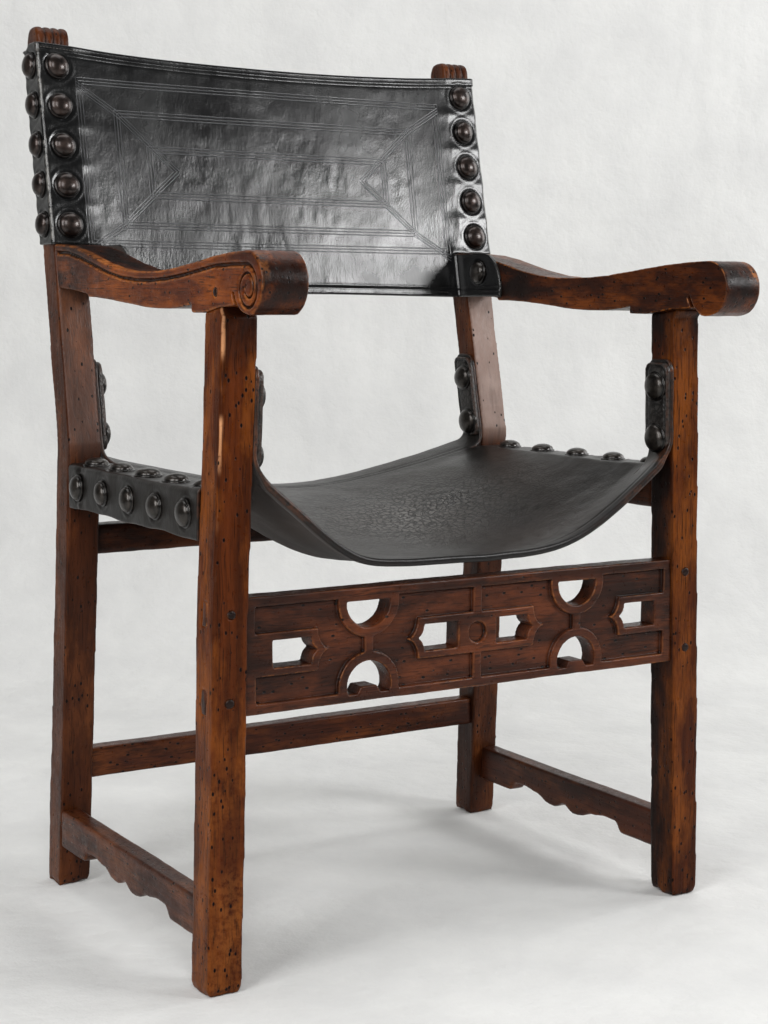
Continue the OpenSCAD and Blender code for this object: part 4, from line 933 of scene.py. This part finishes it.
def build_sling():
    """The seat, with its creases, hem, tooled lines and wear, painted glints in its creases and painted shade
    along its hem.
    """
    sheet = sling_sheet()
    co, out = points_of(sheet), normals_of(sheet)
    x, z = co[:, 0], co[:, 2]
    y = co[:, 1] - LEG_FRONT
    hung = 1 - ease(SPLIT_X - 20 * MM, SPLIT_X + 20 * MM, np.abs(x))
    on_rail = ease(SLING_END_X, SLING_END_X + 4 * MM, np.abs(x))
    lift = hung * (1.2 * noise(co, 0.11, 1) + 0.45 * noise(co, 0.03, 2)) + 0.2 * noise(co, 0.011, 3)
    # Creases where the sitters' weight worked the hide
    sat = bell(65 * MM, 95 * MM, x) * bell(232 * MM, 75 * MM, y)
    fold = np.sin((y + 0.3 * x + 0.012 * noise(co, 0.05, 4)) * 2 * np.pi / (15 * MM))
    lift += sat * 0.3 * fold * ease(-0.2, 0.5, noise(co, 0.03, 5))
    hem = 1 - ease(8 * MM, 10.5 * MM, y)
    lift += 0.6 * hem * hung
    rear_lines = (bell(378 * MM, 1.3 * MM, y) + bell(385 * MM, 1.3 * MM, y)) * hung
    tool = bell(11.6 * MM, 1.2 * MM, y) * hung + rear_lines
    lift -= 0.7 * tool
    # The hide bulges between the nails on the rails, and gathers before the rear posts
    lift += on_rail * (0.7 * noise(co, 0.02, 7) + 1.6 * bell(345 * MM, 14 * MM, y) * noise(co, 0.008, 8))
    co = co + out * (lift * MM)[:, None]
    co -= out * drawn_in(co, out, places_of("rail_"), 1.0 * MM, 0.9 * MM)[:, None]
    co -= out * drawn_in(co, out, places_of("ear_"), 0.5 * MM, 0.0)[:, None]
    move_points(sheet, co)

    doubled = HIDE + (HEM - HIDE) * (1 - ease(9 * MM, 13 * MM, y)) * ease(257 * MM, 245 * MM, np.abs(x))
    foot = bell(235 * MM, 45 * MM, np.abs(x)) * (1 - ease(5 * MM, 14 * MM, y))
    cracked = bell(252 * MM, 12 * MM, x) * bell(522 * MM, 14 * MM, z) * (1 - ease(8 * MM, 26 * MM, y))
    patches = ease(-0.35, 0.35, noise(co, 0.02, 6))
    # Where the seat is creased its finish paints glints on the crowns, a painted highlight
    creases_and_glint = sat * (0.85 + 0.15 * noise(co, 0.03, 9)) + 0.1 * hung * ease(20 * MM, 60 * MM, y)
    rubbed = np.maximum(0.55 * foot * (1 - ease(1 * MM, 5 * MM, y)), 0.9 * cracked) * patches
    # The tooled lines are darkened, and the hem is painted dark as painted shade
    fields = {"rubbed": rubbed, "grime_and_shade": np.maximum(0.7 * tool, 0.75 * hem * hung), "creases_and_glint": creases_and_glint}
    edge = {"rubbed": (0.06 + 0.9 * foot) * (0.4 + 0.6 * patches) * hung + 0.15 * (1 - hung)}
    mesh = hide_from(sheet, doubled, fields, edge)
    return add_piece("seat_sling", mesh, [seat_hide, suede], "leather", "seat_leather")


sling = build_sling()


# Section of an ear's tab: millimetres in from its edge, and height as a share of its thickness
TAB_THICK = 5.5 * MM
TAB_SECTION = (
    (0.0, 0.0), (0.0, 0.5), (0.35, 0.82), (1.0, 0.98), (2.0, 1.0), (3.0, 0.93), (3.6, 0.78), (4.3, 0.8),
    (5.2, 0.95), (7.0, 1.02), (9.5, 1.06), (12.0, 1.08), (15.0, 1.08))


def round_cornered(half_y, half_z, r, count):
    """Stations round a rectangle with round corners."""
    a = np.linspace(0, 2 * np.pi, count, endpoint=False)
    reach = np.maximum(np.abs(np.cos(a)), np.abs(np.sin(a)))
    y = np.clip(np.cos(a) / reach * half_y, -half_y, half_y)
    z = np.clip(np.sin(a) / reach * half_z, -half_z, half_z)
    corner_y, corner_z = np.sign(y) * (half_y - r), np.sign(z) * (half_z - r)
    beyond = (np.abs(y) > half_y - r) & (np.abs(z) > half_z - r)
    dy, dz = y - corner_y, z - corner_z
    far = np.maximum(np.hypot(dy, dz), 1e-9)
    return np.where(beyond, corner_y + dy / far * r, y), np.where(beyond, corner_z + dz / far * r, z)


def ear_pad(name, node, side, face, low_y, width, z0, z1, lean, seed):
    """The second layer on an ear: a round-cornered tab with a rolled border, drawn in round its nails. It
    leans back by lean for each unit of height above the posts' bend."""
    count = 96
    half_y, half_z = width / 2, (z1 - z0) / 2
    ry, rz = round_cornered(half_y, half_z, EAR_R - 1 * MM, count)
    points, rub, darkened = [], [], []
    for inset, height in TAB_SECTION:
        k_y, k_z = 1 - inset * MM / half_y, 1 - inset * MM / half_z
        z = (z0 + z1) / 2 + rz * k_z
        y = low_y + half_y + ry * k_y + lean * (z - BEND_Z)
        points.append(track(side * (face(z) - HIDE - TAB_THICK * height), y + LEG_FRONT, z))
        rub += [0.12 if 0.4 < height < 0.99 and inset < 1.5 else 0.0] * count
        # The groove inside the tab's border is painted darker
        darkened += [0.9 if 3.2 < inset < 4.6 else 0.0] * count
    faces = grid_faces(len(TAB_SECTION), count, 0, closed=True)
    last = (len(TAB_SECTION) - 1) * count
    half = count // 2
    strip = [(last + t, last + (t + 1) % count, last + (half - t - 1) % count, last + (half - t) % count)
             for t in range(count // 4 + 1, half + count // 4)]
    faces += [quad for quad in strip if len(set(quad)) == 4]
    mesh = mesh_from(name, np.concatenate(points), faces)
    weld(mesh)
    if len(mesh.vertices) != len(rub):
        raise ValueError("the ear tab lost points")
    facing(mesh, points[1][0], np.array([0, points[1][0][1] - low_y - LEG_FRONT - half_y, 0]))
    co, out = points_of(mesh), normals_of(mesh)
    drawn = drawn_in(co, out, places_of("ear_"), 1.2 * MM, 1.0 * MM)
    co += out * (0.3 * noise(co, 0.02, seed) * MM - drawn)[:, None]
    move_points(mesh, co)
    keep_field(mesh, "rubbed", np.array(rub))
    keep_field(mesh, "grime_and_shade", np.array(darkened))
    keep_field(mesh, "creases_and_glint", np.full(len(rub), 0.2))
    return add_piece(name, mesh, [seat_hide], "leather", node)


# Ear, the face it lies on, and its tab's lowest depth, width, bottom, top, lean and seed
EAR_TABS = (
    ("front", leg_in, 0.6 * MM, LEG_D - 1.2 * MM, 528 * MM, 624 * MM, 0.0, 70),
    ("rear", post_in, post_front(BEND_Z) + 1.2 * MM, POST_D - 2.4 * MM, 518 * MM, 619 * MM, POST_RAKE, 80),
)
pads = [ear_pad(f"{ear}_ear_tab_{word}", f"{ear}_ear_pad_{word}", side, *sizes, seed + side)
        for side, word in ((-1, "left"), (1, "right")) for ear, *sizes, seed in EAR_TABS]


# Back

SPLIT_Z = ARM_REAR_Z + 1.5 * MM
BACK_X = post_out(SPLIT_Z) + HIDE
FOLD_X = ARM_IN - HIDE - 4 * MM
HEM_W, SEAM = 8.6 * MM, 4.2 * MM
BACK_R, BACK_SAG = 4.2 * MM, 7 * MM
FLAP_LEN, FLAP_CUT = 94 * MM, 36 * MM


def bow(x):
    return 1 - (x / (post_out(BACK_TOP) + HIDE)) ** 2


def back_face(z):
    """Depth of the hide's front, which lies on the posts."""
    return post_front(z) - HIDE * math.hypot(1, POST_RAKE)


def back_sag(x):
    """How far the hide has bellied back between the posts under its sitters."""
    return BACK_SAG * np.clip(1 - (np.abs(x) / (post_in(0.87) - 2 * MM)) ** 4.5, 0, 1)


def upper_half_row(v):
    """Half a row of the back above the arms, v of the way up: across the front, round the post's corner and
    along its outer face."""
    wide = post_out(SPLIT_Z + v * (BACK_TOP - SPLIT_Z)) + HIDE
    inner = np.linspace(0, FOLD_X, 122)
    outer = np.linspace(FOLD_X, BACK_X - BACK_R, 26)[1:]
    x = np.concatenate([inner, outer]) / BACK_X * wide
    z = SPLIT_Z + v * (BACK_TOP - BACK_DIP * bow(x) - SPLIT_Z)
    front, z_end = back_face(z), z[-1]
    along, off = quarter_turn(8)
    turn = track(x[-1] + (wide - x[-1]) * along, front[-1] + BACK_R * off, z_end)
    depth = np.linspace(BACK_R, POST_D + HIDE - 2 * MM, 20)[1:]
    wrap = track(wide, front[-1] + depth, z_end - 8 * MM * v * ease(18 * MM, 36 * MM, depth))
    return np.concatenate([track(x, front, z), turn, wrap])


def lower_half_row(v):
    """Half a row of the back between the arms, v of the way up: across the front, and forward along the arm
    in a flap whose front edge is cut to a curve."""
    x = np.linspace(0, FOLD_X, 122)
    bottom = BACK_LOW + BACK_RISE * bow(x)
    z = bottom + v * (SPLIT_Z - bottom)
    z_end = z[-1] - 3 * MM * v
    r = ARM_IN - HIDE - x[-1]
    along, off = quarter_turn(6)
    turn = track(x[-1] + r * along, back_face(z_end) - r * off, z_end)
    s = np.clip((z_end - BACK_LOW - 5 * MM) / (ARM_REAR_Z - 1.5 * MM - BACK_LOW - 5 * MM), 0, 1)
    end = post_front(BACK_LOW) - FLAP_LEN + FLAP_CUT * (1 - math.sqrt(1 - s * s)) + 1.2 * MM
    flap = track(ARM_IN - HIDE, np.linspace(back_face(z_end) - r, end, 36)[1:], z_end)
    return np.concatenate([track(x, back_face(z), z), turn, flap])


def back_sheet():
    """The back's grain side, stretched flat."""
    grids = []
    for half_row, rows in ((upper_half_row, 112), (lower_half_row, 28)):
        halves = [half_row(v) for v in np.linspace(0, 1, rows)]
        grid = np.array([np.concatenate([half[:0:-1] * [-1, 1, 1], half]) for half in halves])
        grid[:, :, 1] += LEG_FRONT
        grids.append(grid)
    sheet = welded_grids("back_panel", grids)
    facing(sheet, (0, back_face(0.85) + LEG_FRONT, 0.85), np.array([0, -1, 0]))
    return sheet


def build_back():
    """The back, with its sag, wrinkles, hems and wear, a painted highlight along its corners and a painted
    shadow under its hems.
    """
    sheet = back_sheet()
    co, out = points_of(sheet), normals_of(sheet)
    x, z = co[:, 0], co[:, 2]
    y = co[:, 1] - LEG_FRONT
    in_front = y < back_face(z) + 1 * MM
    # Between the arms the hide is held by its fold
    folding = ease(SPLIT_Z + 25 * MM, SPLIT_Z - 10 * MM, z)
    folding *= ease(FOLD_X - 8 * MM, FOLD_X + 3 * MM, np.abs(x))
    free = back_sag(x) / BACK_SAG * (1 - folding)
    lift = -BACK_SAG / MM * free
    lift += free ** 0.5 * (0.9 * noise(co, 0.12, 21) + 0.22 * noise(co, 0.04, 22))
    lift += 0.1 * noise(co, 0.012, 23)
    # Upright wrinkles where shoulders rubbed, below the middle
    tall = noise(co * [1, 1, 0.28], 0.013, 24) + 0.6 * noise(co * [1, 1, 0.35] + [0, 0, 0.03], 0.007, 25)
    pulled = bell(60 * MM, 110 * MM, x) * ease(0.9, 0.82, z) * ease(-0.4, 0.4, noise(co, 0.05, 26))
    lift += 0.34 * tall * free * pulled
    # The hide humps up between the nails, on the posts' fronts and at their corners
    nail_z = np.array([foot[2] for foot, _ in nails["back_front_nails_right"]])
    nearest = np.abs(z[:, None] - nail_z[None]).min(1)
    hump = ease(12 * MM, 24 * MM, nearest)
    corner_near = ease(post_in(0.87) - 30 * MM, post_in(0.87), np.abs(x)) * (z > SPLIT_Z)
    lift += corner_near * (0.5 * hump - 0.3 + 0.2 * noise(co, 0.016, 27))
    top = BACK_TOP - BACK_DIP * bow(x) - z
    bottom = z - (BACK_LOW + BACK_RISE * bow(x))
    hem_edge = np.minimum(np.where(z > SPLIT_Z, top, 1), np.where((z < SPLIT_Z) & in_front, bottom, 1))
    lift += 1.1 * ease(HEM_W + 1.2 * MM, HEM_W, hem_edge) - 0.5 * bell(HEM_W + 1.8 * MM, 1.4 * MM, hem_edge)
    lift -= 0.35 * bell(SEAM, 0.9 * MM, hem_edge)
    co = co + out * (lift * MM)[:, None]
    co -= out * drawn_in(co, out, places_of("back_", "flap_"), 1.0 * MM, 0.9 * MM)[:, None]
    move_points(sheet, co)
    # The posts' corners get a pale grey line: wear, and a painted highlight along the rounded corner
    corner = bell(post_out(z) + HIDE - 1.2 * MM, 1.8 * MM, np.abs(x))
    corner *= (y < back_face(z) + 3.5 * MM) & (z > SPLIT_Z)
    # A dark line is painted at the foot of the hem's step, a painted shadow
    fields = {"rubbed": 0.6 * corner * ease(-0.5, 0.2, noise(co, 0.02, 28)),
              "grime_and_shade": 0.7 * bell(HEM_W + 1.8 * MM, 1.3 * MM, hem_edge)}
    edge = {"rubbed": np.full(len(co), 0.1)}
    mesh = hide_from(sheet, np.full(len(co), HIDE), fields, edge)
    return add_piece("back_panel", mesh, [back_hide, suede], "leather", "back_leather")


back = build_back()


def stitch_row(points, out, pitch):
    """Small thread stitches laid along a line of points, each a flattened bead."""
    run = np.concatenate([[0], np.cumsum(np.linalg.norm(np.diff(points, axis=0), axis=1))])
    made, faces = [], []
    for s in np.arange(pitch / 2, run[-1], pitch):
        at = np.array([np.interp(s, run, points[:, k]) for k in range(3)])
        ahead = np.array([np.interp(s + pitch / 2, run, points[:, k]) for k in range(3)])
        way = ahead - at
        way /= max(np.linalg.norm(way), 1e-9)
        side = np.cross(way, out)
        start = len(made)
        for u, r in ((-0.36, 0.15), (-0.22, 0.85), (0, 1.0), (0.22, 0.85), (0.36, 0.15)):
            for t in range(6):
                a = t * np.pi / 3
                made.append(at + way * u * pitch + (side * np.cos(a) + out * np.sin(a)) * 0.42 * MM * r)
        faces += grid_faces(5, 6, start, closed=True)
        faces += [tuple(start + t for t in range(5, -1, -1)), tuple(start + 24 + t for t in range(6))]
    return made, faces


def build_stitches():
    """The hems' stitching along the top and the bottom of the back."""
    points, faces = [], []
    slope = math.atan(POST_RAKE)
    out = np.array([0, -math.cos(slope), math.sin(slope)])
    hems = ((BACK_TOP, -BACK_DIP, -SEAM, 300 * MM), (BACK_LOW, BACK_RISE, SEAM, 234 * MM))
    for edge, curve, inwards, wide in hems:
        x = np.linspace(-wide, wide, 121)
        z = edge + curve * bow(x) + inwards
        y = back_face(z) + LEG_FRONT + back_sag(x) * math.hypot(1, POST_RAKE) - 0.75 * MM
        made, quads = stitch_row(track(x, y, z), out, 4 * MM)
        faces += [tuple(i + len(points) for i in f) for f in quads]
        points += made
    return add_piece("back_stitches", mesh_from("back_stitches", points, faces), [thread], "leather")


stitches = build_stitches()


# Studio

CAMERA_AT = Vector((-1.08732, -1.55331 + LEG_FRONT, 0.68994))
CAMERA_YAW, CAMERA_PITCH, CAMERA_ROLL = (math.radians(a) for a in (31.971, -6.639, 0.373))
PHOTO_H, FOCAL_PX, SENSOR = 1024, 1802.58, 36.0
# The canvas runs away from the camera: its near end, the start and radius of its bend, its top, half its
# width
CANVAS_NEAR, CANVAS_TURN, CANVAS_R, CANVAS_TOP, CANVAS_HALF_W = -7.0, 0.9, 0.7, 4.0, 6.0


def studio_cloth(name, hex_code):
    """The pale canvas that the chair stands in front of, seamless from floor to wall. It has one side only,
    so that it does not hide the chair in a view from behind it."""
    finish, tree, shader, place = new_finish(name, Roughness=0.95, IOR=1.3)
    mottle = put(tree, "TexNoise", {"Vector": place, "Scale": per_mm(170), "Detail": 6.0, "Roughness": 0.65})
    hanging = put(tree, "Mapping", {"Vector": place, "Scale": (1.0, 1.0, 0.3)})
    fold = put(tree, "TexNoise", {"Vector": hanging, "Scale": per_mm(300), "Detail": 3.0, "Distortion": 0.4})
    tone = put(tree, "MapRange", {0: mottle, 1: 0.35, 2: 0.7, 4: 0.8})
    creases = put(tree, "Math", {0: fold, 1: 2.5, 2: mottle}, operation="MULTIPLY_ADD")
    bring_to(shader, tree, coats(tree, hex_code, [(tone, "#d0d0cf")]), None, creases, 0.35, 20 * MM)
    behind = put(tree, "NewGeometry").outputs["Backfacing"]
    one_sided = put(tree, "MixShader", {0: behind, 1: shader, 2: put(tree, "BsdfTransparent")})
    tree.links.new(one_sided.outputs[0], tree.nodes["Material Output"].inputs["Surface"])
    return finish


def build_studio():
    profile = [(CANVAS_NEAR, 0), (CANVAS_TURN, 0)]
    profile += [(CANVAS_TURN + CANVAS_R * along, CANVAS_R * off) for along, off in zip(*quarter_turn(12))]
    profile += [(CANVAS_TURN + CANVAS_R, CANVAS_TOP)]
    away = Vector((math.sin(CAMERA_YAW), math.cos(CAMERA_YAW), 0))
    aside = Vector((away.y, -away.x, 0))
    sides = (CANVAS_HALF_W, -CANVAS_HALF_W)
    points = [away * d + aside * s + Vector((0, 0, z)) for s in sides for d, z in profile]
    sweep = mesh_from("studio_sweep", points, grid_faces(2, len(profile)))
    sweep.materials.append(studio_cloth("pale studio canvas", "#dddddb"))
    sweep.shade_smooth()
    floor = bpy.data.objects.new("studio_sweep", sweep)
    bpy.context.scene.collection.objects.link(floor)


build_studio()

# Name, place, size and power of each soft light
LIGHTS = (
    ("window on the left", (-2.5, -1.1, 1.7), (1.2, 1.8), 54),
    ("window in front on the left", (-1.3, -2.2, 1.9), (0.8, 1.2), 24),
    ("window in front on the right", (1.8, -2.06, 1.62), (0.8, 0.6), 36),
    ("panel on the right", (2.7, -0.4, 1.5), (1.0, 1.8), 30),
    ("panel overhead", (0.1, 0.3, 3.1), (2.4, 1.6), 30),
)
for name, at, size, power in LIGHTS:
    light = bpy.data.lights.new(name, "AREA")
    light.shape = "RECTANGLE"
    light.size, light.size_y = size
    light.energy = power
    lamp = bpy.data.objects.new(name, light)
    lamp.location = at
    lamp.rotation_euler = (Vector((0, 0, 0.6)) - Vector(at)).to_track_quat("-Z", "Y").to_euler()
    bpy.context.scene.collection.objects.link(lamp)

world = bpy.data.worlds.new("studio air")
world.use_nodes = True
bpy.context.scene.world = world
air = world.node_tree.nodes["Background"]
air.inputs["Color"].default_value = colour("#f2f1ef")
air.inputs["Strength"].default_value = 0.1

view = bpy.data.cameras.new("camera")
view.sensor_width = SENSOR
view.lens = FOCAL_PX / PHOTO_H * SENSOR
camera = bpy.data.objects.new("camera", view)
ahead = Vector((math.sin(CAMERA_YAW) * math.cos(CAMERA_PITCH), math.cos(CAMERA_YAW) * math.cos(CAMERA_PITCH),
                math.sin(CAMERA_PITCH)))
level = Vector((math.cos(CAMERA_YAW), -math.sin(CAMERA_YAW), 0))
upright = level.cross(ahead)
right = level * math.cos(CAMERA_ROLL) + upright * math.sin(CAMERA_ROLL)
up = upright * math.cos(CAMERA_ROLL) - level * math.sin(CAMERA_ROLL)
camera.matrix_world = Matrix.Translation(CAMERA_AT) @ Matrix((right, up, -ahead)).transposed().to_4x4()
bpy.context.scene.collection.objects.link(camera)
bpy.context.scene.camera = camera
bpy.context.scene.view_settings.view_transform = "Standard"
